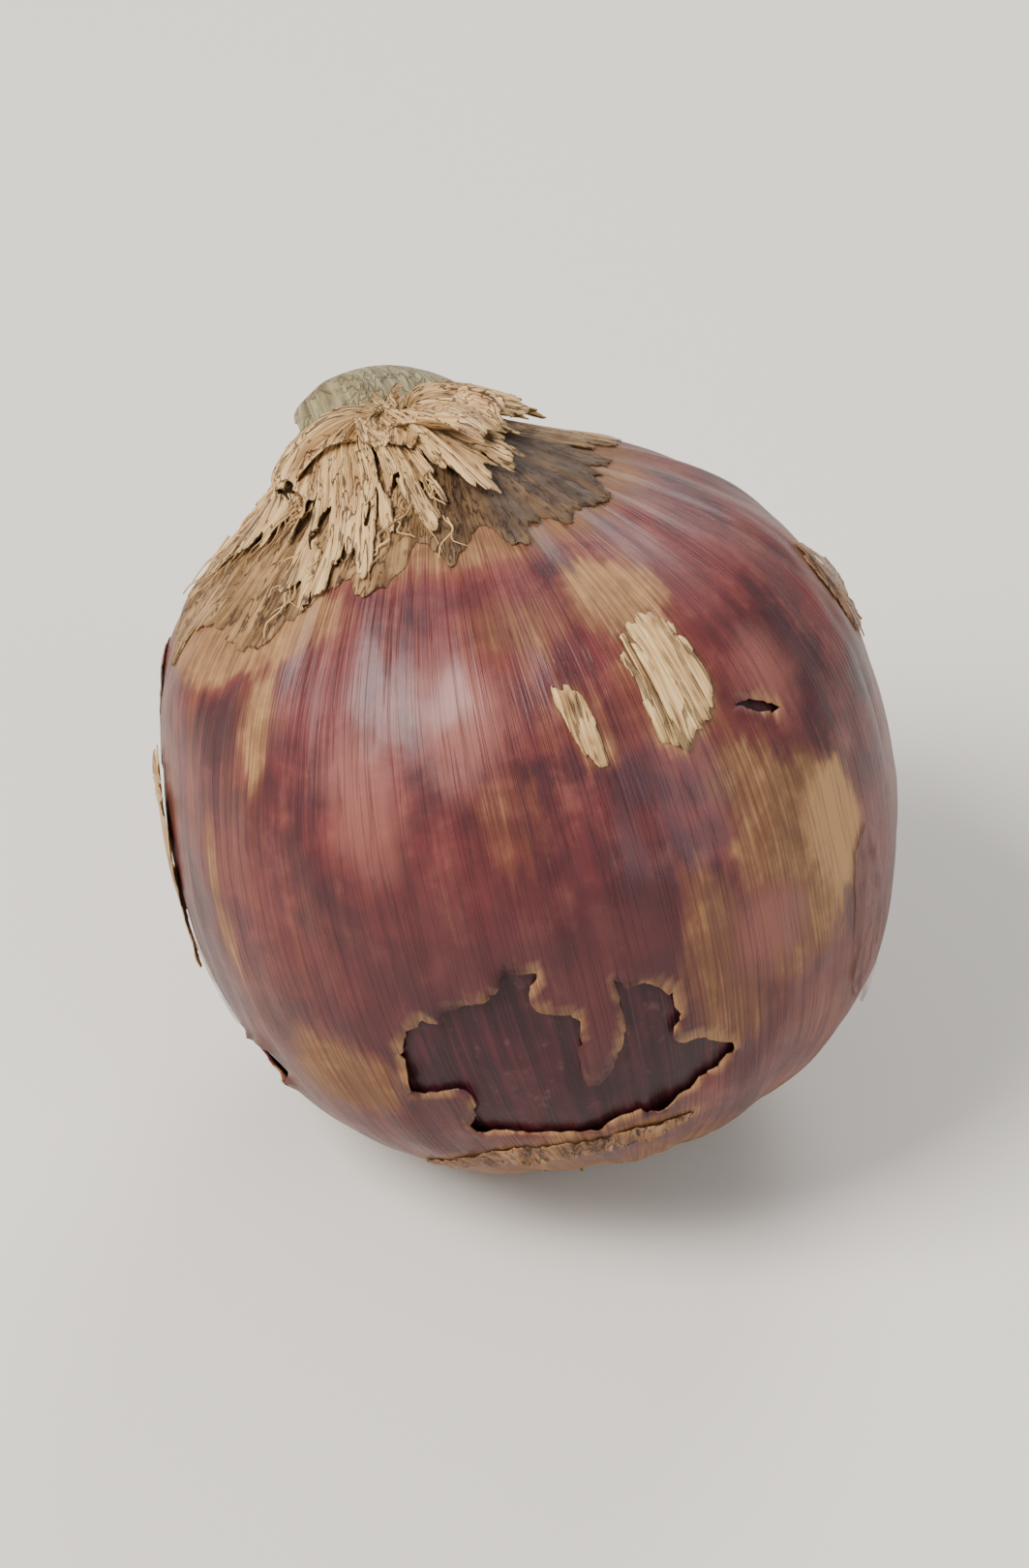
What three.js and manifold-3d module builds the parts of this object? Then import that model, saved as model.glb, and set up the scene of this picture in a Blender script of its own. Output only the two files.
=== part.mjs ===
// A round, dry shallot bulb. Its mauve skin is torn low on the front, the straw-coloured neck is
// collapsed and frayed, and a tuft of short dry roots grows from the root plate.
// It stands on its root end and leans back, on a small flat spot. Millimetres, +Z up, with the
// origin in the middle of that spot. The bulb's own frame has +Z from the roots to the neck,
// azimuth 0 along +X, and height 0 at its widest ring.
import * as THREE from "three";
import { mergeVertices } from "three/addons/utils/BufferGeometryUtils.js";
import Module from "manifold-3d";

const wasm = await Module();
wasm.setup();

const UP = new THREE.Vector3(0, 0, 1);
const TURN = 2 * Math.PI;
const { degToRad, smoothstep, lerp } = THREE.MathUtils;

// Outline of the skin from the root end to the neck: distance from the axis and height
const OUTLINE = [
  [0, -18.2],
  [3.2, -18.4],
  [5.4, -19.5],
  [11.0, -18.1],
  [17.2, -12.6],
  [20.3, -3.2],
  [20.1, 5.8],
  [17.2, 12.8],
  [11.8, 17.4],
  [5.8, 19.6],
  [0, 20.2],
];
const OUTLINE_HEIGHT_LIMIT = 24;

// Uneven growth: share of the radius, waves round the bulb, azimuth of a crest in degrees
const SWELLINGS = [
  [0.016, 2, 20],
  [0.014, 3, 75],
  [0.007, 5, 10],
];
// A full shoulder on one side: its middle, how far it rises, and its reach round and along
const SHOULDER = { azimuth: -168, height: 16.5, rise: 2.1, round: 10, along: 5.5, inner: 6 };
// The broad crown under the neck, off to one side: its middle, height, reach, and where it starts
const CROWN = { azimuth: 178, out: 3.8, rise: 4.2, reach: 9.2, from: 0, to: 8 };
// Pleats where the skin gathers: depth, number round, and the heights between which they grow
const NECK_PLEATS = { depth: 0.3, count: 16, from: 10, to: 18.5 };
const ROOT_PLEATS = { depth: 0.2, count: 14, from: -14, to: -19 };

// How the bulb stands
const LEAN_DEG = 22;
const LEAN_TOWARDS_DEG = 128;
const FLAT_DEPTH = 0.65; // how far the flat spot lies inside the round outline
const PRESS_START = 0.35; // the side begins to flatten this far inside the flat spot
const PRESS_SOFTNESS = 0.45;

// Layers, measured outward from the skin
const FLESH_LIFT = -0.55; // bare flesh in the tears
const DRY_LIFT = 0.45; // remains of the dry outer skin
const FIT_GAP = 0.3; // clearance between touching pieces
const SLIVER = 0.02; // details thinner than this are left out
const SKIN_COLUMNS = 64;
const SKIN_ROWS = 30;

// Places are azimuth in degrees and height; sizes are half width, half height and turn in degrees
const TEARS = [
  { azimuth: -93, height: -6.4, halfWidth: 8.6, halfHeight: 4.4, turn: 4, ragged: 0.26, seed: 11 },
  { azimuth: -84, height: -10.6, halfWidth: 7.6, halfHeight: 2.6, turn: 6, ragged: 0.26, seed: 12 },
  { azimuth: -156, height: -8.4, halfWidth: 2.6, halfHeight: 1.8, turn: 0, ragged: 0.35, seed: 5 },
  { azimuth: 28, height: -6.0, halfWidth: 3.4, halfHeight: 6.0, turn: 12, ragged: 0.3, seed: 8 },
  { azimuth: 150, height: 5.0, halfWidth: 1.7, halfHeight: 6.0, turn: -6, ragged: 0.3, seed: 21 },
];
// Skin left hanging into the widest tear
const TEAR_TONGUES = [
  { azimuth: -84.5, height: -3.2, halfWidth: 2.4, halfHeight: 1.8, turn: 8, ragged: 0.2, seed: 3 },
  { azimuth: -82.5, height: -6.0, halfWidth: 1.2, halfHeight: 3.8, turn: -12, ragged: 0.2, seed: 6 },
];
const DRY_PATCHES = [
  { azimuth: -42, height: -0.6, halfWidth: 4.8, halfHeight: 6.8, turn: -8, ragged: 0.3, seed: 7 },
  { azimuth: -98, height: -14.6, halfWidth: 8.4, halfHeight: 1.3, turn: 6, ragged: 0.3, seed: 9 },
  { azimuth: 62, height: 3.0, halfWidth: 4.6, halfHeight: 7.0, turn: 10, ragged: 0.3, seed: 12 },
  { azimuth: 118, height: -7.0, halfWidth: 5.2, halfHeight: 3.4, turn: -20, ragged: 0.4, seed: 15 },
  { azimuth: 5, height: 9.0, halfWidth: 2.4, halfHeight: 4.0, turn: 6, ragged: 0.4, seed: 18 },
];
// Loose skin that stands off the side: azimuths of its held and free edges, heights, and how far
const LOOSE_FLAPS = [
  { held: -158, free: -177, low: -3.0, high: 9.0, standOff: 0.9, seed: 31 },
  { held: -34, free: -11, low: -13.5, high: -1.0, standOff: 0.8, seed: 32 },
  { held: -48, free: -61, low: 8.8, high: 14.4, standOff: 0.6, seed: 34 },
  { held: -67, free: -76, low: 8.6, high: 12.8, standOff: 0.5, seed: 35 },
  { held: 92, free: 112, low: -2.0, high: 11.0, standOff: 0.9, seed: 33 },
];
const FLAP_THICKNESS = 0.7;
const FLAP_SUNK = 0.9;

// The neck
const SKIRT_LIFT = 1.05; // the dry skin over the shoulder ends this far outside the mauve skin
const SKIRT_TONGUES = [
  { azimuth: -172, reach: 13.4, width: 32 },
  { azimuth: -146, reach: 12.0, width: 30 },
  { azimuth: -120, reach: 10.4, width: 26 },
  { azimuth: -96, reach: 8.0, width: 22 },
  { azimuth: -48, reach: 6.6, width: 30 },
  { azimuth: 56, reach: 8.4, width: 34 },
  { azimuth: 120, reach: 10.6, width: 38 },
];
const TONGUE_BLUNTNESS = 0.45; // 1 is a pointed tongue, and less is a blunter one
const HEM_POINTS = 72;
const HEM_JAGS = 1.1;
const SKIRT_RADIUS = 5.4;
const NECK_RINGS = [
  [6.2, 18.4],
  [5.9, 20.0],
  [4.7, 20.9],
  [3.6, 21.4],
  [2.5, 21.8],
];
const NECK_HOLLOW = 0.5; // the collapsed top dips this far in the middle
const NECK_PLEAT_DEPTH = 0.34;
// The neck has collapsed to an oval: share of its radius, the heights between, the long way
const NECK_OVAL = { share: 0.36, from: 19.8, to: 21.4, towards: 7 };
const NECK_BEND = 3.2; // sideways, at the top ring
const NECK_BEND_TOWARDS_DEG = 178;
const NECK_BEND_START = 17;
const NECK_TIPS = [
  { azimuth: -42, length: 0.7, width: 4.8, curl: 3.6 },
  { azimuth: 152, length: 1.0, width: 5.4, curl: 3.2 },
  { azimuth: 84, length: 1.0, width: 5.0, curl: 0.8 },
  { azimuth: -128, length: 0.8, width: 4.4, curl: 1.8 },
];
const TIP_SUNK = 2.0; // how deep a tip is rooted in the neck
const TIP_THICKNESS = 0.7;

// The roots
const PLATE_RADIUS = 4.5;
const PLATE_TOP = -17.2;
const PLATE_BOTTOM = -19.9;
const ROOT_COUNT = 60;
const ROOT_RADIUS = 0.42;
const ROOT_LENGTH = [1.7, 3.4];
const GOLDEN_TURN = Math.PI * (3 - Math.sqrt(5));

const outline = new THREE.SplineCurve(OUTLINE.map(([r, z]) => new THREE.Vector2(r, z)));
outline.arcLengthDivisions = 400;

/** A repeatable source of random numbers from 0 to 1. */
function dice(seed) {
  let state = seed * 2654435761;
  return () => {
    state = (state + 0x6d2b79f5) | 0;
    let t = Math.imul(state ^ (state >>> 15), 1 | state);
    t = (t + Math.imul(t ^ (t >>> 7), 61 | t)) ^ t;
    return ((t ^ (t >>> 14)) >>> 0) / 4294967296;
  };
}

/** The share of the outline, by length, at which the skin reaches a height. */
function alongAtHeight(height) {
  let low = 0.08;
  let high = 1;
  for (let step = 0; step < 30; step += 1) {
    const middle = (low + high) / 2;
    if (outline.getPointAt(middle).y < height) low = middle;
    else high = middle;
  }
  return (low + high) / 2;
}

/** The signed angle from a centre in degrees to an azimuth, by the short way round. */
function turnFrom(centre, azimuth) {
  return THREE.MathUtils.euclideanModulo(azimuth - degToRad(centre) + Math.PI, TURN) - Math.PI;
}

/** How far the full shoulder rises outward at a place. */
function shoulderRise(azimuth, height, radius) {
  const round = (turnFrom(SHOULDER.azimuth, azimuth) * radius) / SHOULDER.round;
  const along = (height - SHOULDER.height) / SHOULDER.along;
  const growth = smoothstep(radius / SHOULDER.inner, 0, 1);
  return SHOULDER.rise * growth * Math.exp(-(round ** 2) - along ** 2);
}

/** How far the crown rises at a place on the plane across the bulb's axis. */
function crownRise(x, y) {
  const centre = degToRad(CROWN.azimuth);
  const away = Math.hypot(x - CROWN.out * Math.cos(centre), y - CROWN.out * Math.sin(centre));
  return CROWN.rise * Math.exp(-((away / CROWN.reach) ** 2));
}

/** A point of the unpressed skin, lifted outward, in the bulb's own frame. */
function roundPoint(azimuth, along, lift) {
  const point = outline.getPointAt(along);
  const tangent = outline.getTangentAt(along);
  const height = point.y - lift * tangent.x;
  const fade = Math.max(0, 1 - (height / OUTLINE_HEIGHT_LIMIT) ** 2);
  let swell = 1;
  for (const [share, waves, crest] of SWELLINGS) {
    swell += share * fade * Math.cos(waves * (azimuth - degToRad(crest)));
  }
  let radius = (point.x + lift * tangent.y) * swell;
  radius += shoulderRise(azimuth, height, radius);
  for (const { depth, count, from, to } of [NECK_PLEATS, ROOT_PLEATS]) {
    const growth = smoothstep((height - from) / (to - from), 0, 1) * Math.min(1, radius / 4);
    radius += depth * growth * Math.cos(count * azimuth);
  }
  radius = Math.max(0, radius);
  const [x, y] = [radius * Math.cos(azimuth), radius * Math.sin(azimuth)];
  const grown = smoothstep((height - CROWN.from) / (CROWN.to - CROWN.from), 0, 1);
  return new THREE.Vector3(x, y, height + grown * crownRise(x, y));
}

const leanDirection = new THREE.Vector3().setFromSphericalCoords(1, degToRad(LEAN_DEG), 0);
leanDirection.set(leanDirection.z, 0, leanDirection.y).applyAxisAngle(UP, degToRad(LEAN_TOWARDS_DEG));
const lean = new THREE.Quaternion().setFromUnitVectors(UP, leanDirection);
const DOWN = UP.clone().negate().applyQuaternion(lean.clone().invert());

/** The lowest point of the unpressed skin when the bulb leans. */
function lowestPoint() {
  let lowest = new THREE.Vector3();
  for (let i = 0; i < 180; i += 1) {
    for (let j = 1; j < 180; j += 1) {
      const point = roundPoint((TURN * i) / 180, j / 180, 0);
      if (point.dot(DOWN) > lowest.dot(DOWN)) lowest = point;
    }
  }
  return lowest;
}

const restPoint = lowestPoint();
const floorDepth = restPoint.dot(DOWN) - FLAT_DEPTH;

/** Flattens a point softly where the bulb is pressed on its resting spot. */
function pressed(point) {
  const over = point.dot(DOWN) - (floorDepth - PRESS_START);
  if (over <= 0) return point;
  const kept = PRESS_SOFTNESS * Math.tanh(over / PRESS_SOFTNESS);
  return point.addScaledVector(DOWN, kept - over);
}

/** A point of the skin, lifted outward, in the bulb's own frame. */
function skinPoint(azimuth, along, lift = 0) {
  return pressed(roundPoint(azimuth, along, lift));
}

/** A closed body through rings of points, with a point at each end. */
function loft(first, rings, last) {
  const count = rings[0].length;
  const points = [first, ...rings.flat(), last];
  const end = points.length - 1;
  const faces = [];
  const at = (ring, i) => 1 + ring * count + (i % count);
  for (let i = 0; i < count; i += 1) {
    faces.push(0, at(0, i + 1), at(0, i));
    faces.push(end, at(rings.length - 1, i), at(rings.length - 1, i + 1));
    for (let ring = 0; ring + 1 < rings.length; ring += 1) {
      faces.push(at(ring, i), at(ring, i + 1), at(ring + 1, i + 1));
      faces.push(at(ring, i), at(ring + 1, i + 1), at(ring + 1, i));
    }
  }
  const geometry = new THREE.BufferGeometry().setFromPoints(points);
  geometry.setIndex(faces);
  return geometry;
}

/** A closed sheet between two faces, each a function of the shares across and along it. */
function sheet(across, along, top, bottom) {
  const points = [];
  for (const face of [top, bottom]) {
    for (let j = 0; j <= along; j += 1) {
      for (let i = 0; i <= across; i += 1) points.push(face(i / across, j / along));
    }
  }
  const row = across + 1;
  const layer = row * (along + 1);
  const faces = [];
  for (let j = 0; j < along; j += 1) {
    for (let i = 0; i < across; i += 1) {
      const a = j * row + i;
      const [b, c, d] = [a + 1, a + row + 1, a + row];
      faces.push(a, b, c, a, c, d, layer + a, layer + c, layer + b, layer + a, layer + d, layer + c);
    }
  }
  const rim = [];
  for (let i = 0; i < across; i += 1) rim.push(i);
  for (let j = 0; j < along; j += 1) rim.push(j * row + across);
  for (let i = across; i > 0; i -= 1) rim.push(along * row + i);
  for (let j = along; j > 0; j -= 1) rim.push(j * row);
  rim.forEach((a, i) => {
    const b = rim[(i + 1) % rim.length];
    faces.push(a, layer + a, layer + b, a, layer + b, b);
  });
  const geometry = new THREE.BufferGeometry().setFromPoints(points);
  geometry.setIndex(faces);
  return geometry;
}

/** A closed geometry as a solid that can be cut and joined. */
function toSolid(geometry) {
  const bare = geometry.clone();
  bare.deleteAttribute("normal");
  bare.deleteAttribute("uv");
  const merged = mergeVertices(bare, 1e-5);
  return new wasm.Manifold(
    new wasm.Mesh({
      numProp: 3,
      vertProperties: new Float32Array(merged.attributes.position.array),
      triVerts: new Uint32Array(merged.index.array),
    }),
  );
}

/** The outer shell of a solid, with no sliver and no pocket sealed inside, as a geometry. */
function toGeometry(solid) {
  const shells = solid.simplify(SLIVER).decompose().sort((a, b) => b.volume() - a.volume());
  const mesh = shells[0].getMesh();
  const geometry = new THREE.BufferGeometry();
  geometry.setAttribute("position", new THREE.BufferAttribute(mesh.vertProperties, 3));
  geometry.setIndex(new THREE.BufferAttribute(mesh.triVerts, 1));
  geometry.computeVertexNormals();
  return geometry;
}

/** The whole bulb at one layer, as a solid. */
function layerSolid(lift, columns = SKIN_COLUMNS, rows = SKIN_ROWS) {
  const rings = [];
  for (let j = 1; j < rows; j += 1) {
    const ring = [];
    for (let i = 0; i < columns; i += 1) ring.push(skinPoint((TURN * i) / columns, j / rows, lift));
    rings.push(ring);
  }
  return toSolid(loft(skinPoint(0, 0, lift), rings, skinPoint(0, 1, lift)));
}

/** A torn outline round a point: a rough oval whose radius jumps from point to point. */
function tornOutline({ halfWidth, halfHeight, turn, ragged, seed }) {
  const random = dice(seed);
  const count = Math.max(10, Math.round(2.2 * (halfWidth + halfHeight)));
  const shape = new THREE.Shape();
  for (let i = 0; i < count; i += 1) {
    const angle = (TURN * i) / count;
    const reach = 1 + ragged * (2 * random() - 1) * (i % 2 ? 1 : 0.5);
    const point = new THREE.Vector2(halfWidth * Math.cos(angle), halfHeight * Math.sin(angle));
    point.multiplyScalar(reach).rotateAround(new THREE.Vector2(), degToRad(turn));
    if (i === 0) shape.moveTo(point.x, point.y);
    else shape.lineTo(point.x, point.y);
  }
  return shape;
}

/** A torn outline carried through the skin where it belongs, as a solid. */
function punch(tear, below, above) {
  const azimuth = degToRad(tear.azimuth);
  const along = alongAtHeight(tear.height);
  const centre = roundPoint(azimuth, along, 0);
  const out = roundPoint(azimuth, along, 1).sub(centre).normalize();
  const towardsNeck = roundPoint(azimuth, along + 0.01, 0).sub(centre).normalize();
  const right = towardsNeck.clone().cross(out).normalize();
  const geometry = new THREE.ExtrudeGeometry(tornOutline(tear), {
    depth: below + above,
    bevelEnabled: false,
  });
  geometry.translate(0, 0, -below);
  const place = new THREE.Matrix4().makeBasis(right, out.clone().cross(right), out);
  geometry.applyMatrix4(place.setPosition(centre));
  return toSolid(geometry);
}

/** A flap of loose skin, sunk into the side along its held edge. */
function flapSolid({ held, free, low, high, standOff, seed }) {
  const random = dice(seed);
  const bites = Array.from({ length: 7 }, () => lerp(0.72, 1.08, random()));
  const face = (thickness) => (s, t) => {
    const bite = bites[Math.round(t * 6)] * Math.sin(Math.PI * lerp(0.12, 0.88, t)) ** 0.5;
    const azimuth = degToRad(lerp(held, free, s * bite));
    const lift = -FLAP_SUNK + (FLAP_SUNK + standOff) * s ** 1.3;
    return roundPoint(azimuth, alongAtHeight(lerp(low, high, t)), lift + thickness);
  };
  const geometry = sheet(4, 6, face(FLAP_THICKNESS), face(0));
  return toSolid(free > held ? geometry : flipped(geometry));
}

/** The same geometry with its faces turned round. */
function flipped(geometry) {
  const index = geometry.index.array;
  for (let i = 0; i < index.length; i += 3) [index[i], index[i + 1]] = [index[i + 1], index[i]];
  return geometry;
}

/** The space under the resting surface, in the bulb's own frame. */
function underFloor() {
  const slab = new THREE.BoxGeometry(120, 120, 30).translate(0, 0, -15 - floorDepth);
  return toSolid(slab.applyQuaternion(lean.clone().invert()));
}

/** The bulb: flesh, mauve skin with its tears, dry patches and loose flaps, in one body. */
function bulbSolid() {
  const whole = layerSolid(0);
  let skin = whole;
  for (const tear of TEARS) skin = skin.subtract(punch(tear, 6, 4));
  for (const tongue of TEAR_TONGUES) skin = skin.add(whole.intersect(punch(tongue, 6, 4)));
  let bulb = layerSolid(FLESH_LIFT, SKIN_COLUMNS / 2, SKIN_ROWS).add(skin);
  const raised = layerSolid(DRY_LIFT);
  for (const patch of DRY_PATCHES) bulb = bulb.add(raised.intersect(punch(patch, 6, 4)));
  for (const flap of LOOSE_FLAPS) bulb = bulb.add(flapSolid(flap));
  return bulb.subtract(underFloor());
}

/** How far the neck has bent sideways at a height. */
function neckShift(height) {
  const rise = Math.max(0, height - NECK_BEND_START) / (NECK_RINGS.at(-1)[1] - NECK_BEND_START);
  const towards = degToRad(NECK_BEND_TOWARDS_DEG);
  return new THREE.Vector3(Math.cos(towards), Math.sin(towards), 0).multiplyScalar(NECK_BEND * rise ** 2);
}

/** How much wider the collapsed neck is than round, at an azimuth and a height. */
function ovalShare(azimuth, height) {
  const { share, from, to, towards } = NECK_OVAL;
  const grown = smoothstep((height - from) / (to - from), 0, 1);
  return 1 + share * grown * Math.cos(2 * (azimuth - degToRad(towards)));
}

/** A point of the neck, raised by the crown below it. */
function onCrown(point) {
  return point.setZ(point.z + crownRise(point.x, point.y));
}

/** A point on the pleated neck, at an azimuth and a height. */
function neckPoint(azimuth, radius, height) {
  const pleat = NECK_PLEAT_DEPTH * (Math.cos(11 * azimuth) + 0.5 * Math.cos(7 * azimuth + 1.3));
  const reach = radius * ovalShare(azimuth, height) + pleat;
  const straight = new THREE.Vector3(reach * Math.cos(azimuth), reach * Math.sin(azimuth), height);
  return onCrown(straight.add(neckShift(height)));
}

/** The pleated cone of the neck. */
function neckCone(columns) {
  const rings = NECK_RINGS.map(([radius, height]) =>
    Array.from({ length: columns }, (_, i) => neckPoint((TURN * i) / columns, radius, height)),
  );
  const top = NECK_RINGS.at(-1)[1];
  const bottom = NECK_RINGS[0][1];
  const root = onCrown(new THREE.Vector3(0, 0, bottom));
  return toSolid(loft(root, rings, onCrown(neckShift(top).setZ(top - NECK_HOLLOW))));
}

/** A torn papery tip that grows from the top of the neck and curls outward. */
function neckTip({ azimuth, length, width, curl }) {
  const [radius, top] = NECK_RINGS.at(-1);
  const angle = degToRad(azimuth);
  const out = new THREE.Vector3(Math.cos(angle), Math.sin(angle), 0);
  const side = new THREE.Vector3(-out.y, out.x, 0);
  const reach = radius * ovalShare(angle, top) - 0.3;
  const base = neckShift(top).setZ(top - TIP_SUNK).addScaledVector(out, reach);
  const face = (inward) => (s, t) => {
    const across = (s - 0.5) * width * (1 - 0.55 * t * t);
    const bow = -((s - 0.5) ** 2) * width * 0.5;
    const point = base
      .clone()
      .addScaledVector(side, across)
      .addScaledVector(out, bow + curl * t * t - inward)
      .addScaledVector(UP, (length + TIP_SUNK) * t - (s - 0.5) ** 2 * 2.4 * t);
    return onCrown(point);
  };
  return toSolid(sheet(4, 4, face(0), face(TIP_THICKNESS)));
}

/** The outline, from above, of the dry skirt on the shoulder: a ring with tongues. */
function skirtOutline() {
  const shape = new THREE.Shape();
  const random = dice(41);
  for (let i = 0; i < HEM_POINTS; i += 1) {
    const angle = (360 * i) / HEM_POINTS;
    let reach = SKIRT_RADIUS;
    for (const tongue of SKIRT_TONGUES) {
      const off = Math.abs(turnFrom(tongue.azimuth, degToRad(angle)));
      const share = Math.max(0, 1 - off / degToRad(tongue.width));
      reach = Math.max(reach, lerp(SKIRT_RADIUS, tongue.reach, share ** TONGUE_BLUNTNESS));
    }
    reach += HEM_JAGS * (random() - 0.5);
    const x = reach * Math.cos(degToRad(angle));
    const y = reach * Math.sin(degToRad(angle));
    if (i === 0) shape.moveTo(x, y);
    else shape.lineTo(x, y);
  }
  return shape;
}

/** The neck: pleated cone, torn tips and the skirt of dry skin, fitted over the shoulder. */
function neckSolid() {
  const column = new THREE.ExtrudeGeometry(skirtOutline(), { depth: 30, bevelEnabled: false });
  column.translate(0, 0, 6);
  let neck = layerSolid(SKIRT_LIFT).intersect(toSolid(column));
  neck = neck.add(neckCone(44));
  for (const tip of NECK_TIPS) neck = neck.add(neckTip(tip));
  return neck.subtract(layerSolid(FIT_GAP));
}

/** A tapered tube through points, with one radius at each point. */
function tube(points, radii, sides) {
  const rings = points.map((point, k) => {
    const before = points[Math.max(0, k - 1)];
    const after = points[Math.min(points.length - 1, k + 1)];
    const way = after.clone().sub(before).normalize();
    const facing = new THREE.Quaternion().setFromUnitVectors(UP, way);
    return Array.from({ length: sides }, (_, i) => {
      const angle = (TURN * i) / sides;
      const spoke = new THREE.Vector3(radii[k] * Math.cos(angle), radii[k] * Math.sin(angle), 0);
      return spoke.applyQuaternion(facing).add(point);
    });
  });
  return toSolid(loft(points[0], rings, points.at(-1)));
}

/** One dry root: it leaves the plate outward and down, and hooks to one side. */
function rootSolid(i, random) {
  const share = Math.sqrt((i + 0.5) / ROOT_COUNT);
  const angle = i * GOLDEN_TURN;
  const out = new THREE.Vector3(Math.cos(angle), Math.sin(angle), 0);
  const side = new THREE.Vector3(-out.y, out.x, 0);
  const length = lerp(ROOT_LENGTH[0], ROOT_LENGTH[1], random());
  const hook = lerp(-0.6, 0.6, random());
  const spread = 0.25 + 0.9 * share;
  const start = out.clone().multiplyScalar(share * (PLATE_RADIUS - 0.5)).setZ(PLATE_BOTTOM + 1.1);
  const points = [0, 0.5, 1].map((t) =>
    start
      .clone()
      .addScaledVector(out, length * spread * t * (1 - 0.25 * t))
      .addScaledVector(side, length * hook * t * t)
      .addScaledVector(UP, -length * (t * (1 - 0.3 * share) - 0.2 * t * t)),
  );
  return tube(points, [1, 0.9, 0.55].map((k) => k * ROOT_RADIUS), 4);
}

/** The root plate with its tuft, fitted into the hollow of the root end. */
function rootTuftSolid() {
  const profile = [
    [PLATE_RADIUS, PLATE_TOP],
    [PLATE_RADIUS, PLATE_BOTTOM + 0.6],
    [PLATE_RADIUS * 0.75, PLATE_BOTTOM + 0.15],
  ];
  const plate = loft(
    new THREE.Vector3(0, 0, PLATE_TOP),
    profile.map(([radius, height]) =>
      Array.from({ length: 24 }, (_, i) =>
        new THREE.Vector3(radius, 0, height).applyAxisAngle(UP, (TURN * i) / 24),
      ),
    ),
    new THREE.Vector3(0, 0, PLATE_BOTTOM),
  );
  const random = dice(77);
  let tuft = toSolid(flipped(plate));
  for (let i = 0; i < ROOT_COUNT; i += 1) tuft = tuft.add(rootSolid(i, random));
  return tuft.subtract(layerSolid(FIT_GAP)).subtract(underFloor());
}

const mauveSkin = new THREE.MeshStandardMaterial({ color: 0x8a4a48, roughness: 0.42, metalness: 0 });
const dryStraw = new THREE.MeshStandardMaterial({ color: 0xb98f5c, roughness: 0.75, metalness: 0 });
const dryRoot = new THREE.MeshStandardMaterial({ color: 0xa8895a, roughness: 0.85, metalness: 0 });

/** A named piece of the shallot. */
function piece(name, solid, material) {
  const mesh = new THREE.Mesh(toGeometry(solid), material);
  mesh.name = name;
  return mesh;
}

const shallot = new THREE.Group();
shallot.add(piece("bulb", bulbSolid(), mauveSkin));
shallot.add(piece("dry_neck", neckSolid(), dryStraw));
shallot.add(piece("root_tuft", rootTuftSolid(), dryRoot));
shallot.quaternion.copy(lean);
shallot.position.copy(restPoint).applyQuaternion(lean).negate().setZ(floorDepth);

export default shallot;
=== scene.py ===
"""Looks of a round, dry shallot: torn mauve skin, frayed straw neck and a tuft of dry roots.

Lengths are millimetres in the bulb's own frame, which has +Z from the roots to the neck, azimuth 0
along +X and height 0 at the widest ring. The bulb leans back on a small flat spot, and every piece
is turned to stand that way, in metres, as it becomes a mesh.
"""

import itertools
import logging
import math
from dataclasses import dataclass, field
from enum import Enum
from typing import Any, Callable, Sequence

import bpy
import numpy as np
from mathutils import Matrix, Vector


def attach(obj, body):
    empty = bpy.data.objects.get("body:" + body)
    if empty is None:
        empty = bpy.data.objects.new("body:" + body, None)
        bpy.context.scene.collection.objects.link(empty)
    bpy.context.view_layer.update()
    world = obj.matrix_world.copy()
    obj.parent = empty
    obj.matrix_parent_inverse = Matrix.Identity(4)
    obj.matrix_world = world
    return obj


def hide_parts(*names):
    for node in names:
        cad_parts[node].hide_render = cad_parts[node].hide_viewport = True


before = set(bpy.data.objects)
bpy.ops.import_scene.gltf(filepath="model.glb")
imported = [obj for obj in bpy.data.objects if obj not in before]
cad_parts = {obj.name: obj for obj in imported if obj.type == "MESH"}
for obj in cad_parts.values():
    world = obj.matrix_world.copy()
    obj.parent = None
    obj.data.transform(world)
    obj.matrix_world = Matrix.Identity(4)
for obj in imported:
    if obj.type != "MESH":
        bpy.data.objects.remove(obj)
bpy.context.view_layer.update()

BODY = "root"
MM = 0.001
TURN = 2 * math.pi
GOLDEN_TURN = math.pi * (3 - math.sqrt(5))
# Further than any slit lies from a place that matters, in millimetres.
FAR = 9.0
# Units of noise along the whole outline, from root to neck.
RUN = 40
# Keeps a division by a length off zero.
TINY = 1e-9
# The furthest that a corner of a torn border slides, in cells of its grid.
SLIDE = 0.9

Array = np.ndarray
Colour = tuple[float, float, float]
Place = tuple[float, float, float]
log = logging.getLogger("shallot")


def smooth(values: Array, low: float, high: float) -> Array:
    """Rises from 0 at low to 1 at high along the curve 3t^2 - 2t^3, and low may be above high."""
    t = np.clip((values - low) / (high - low), 0, 1)
    return t * t * (3 - 2 * t)


def blend(a: Array | float, b: Array | float, share: Array) -> Array:
    """The value that lies the given share of the way from a to b."""
    return a + (b - a) * share


def away(azimuth: Array, centre_deg: float) -> Array:
    """The signed angle in radians from a centre in degrees, by the short way round."""
    return (azimuth - math.radians(centre_deg) + math.pi) % TURN - math.pi


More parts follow.
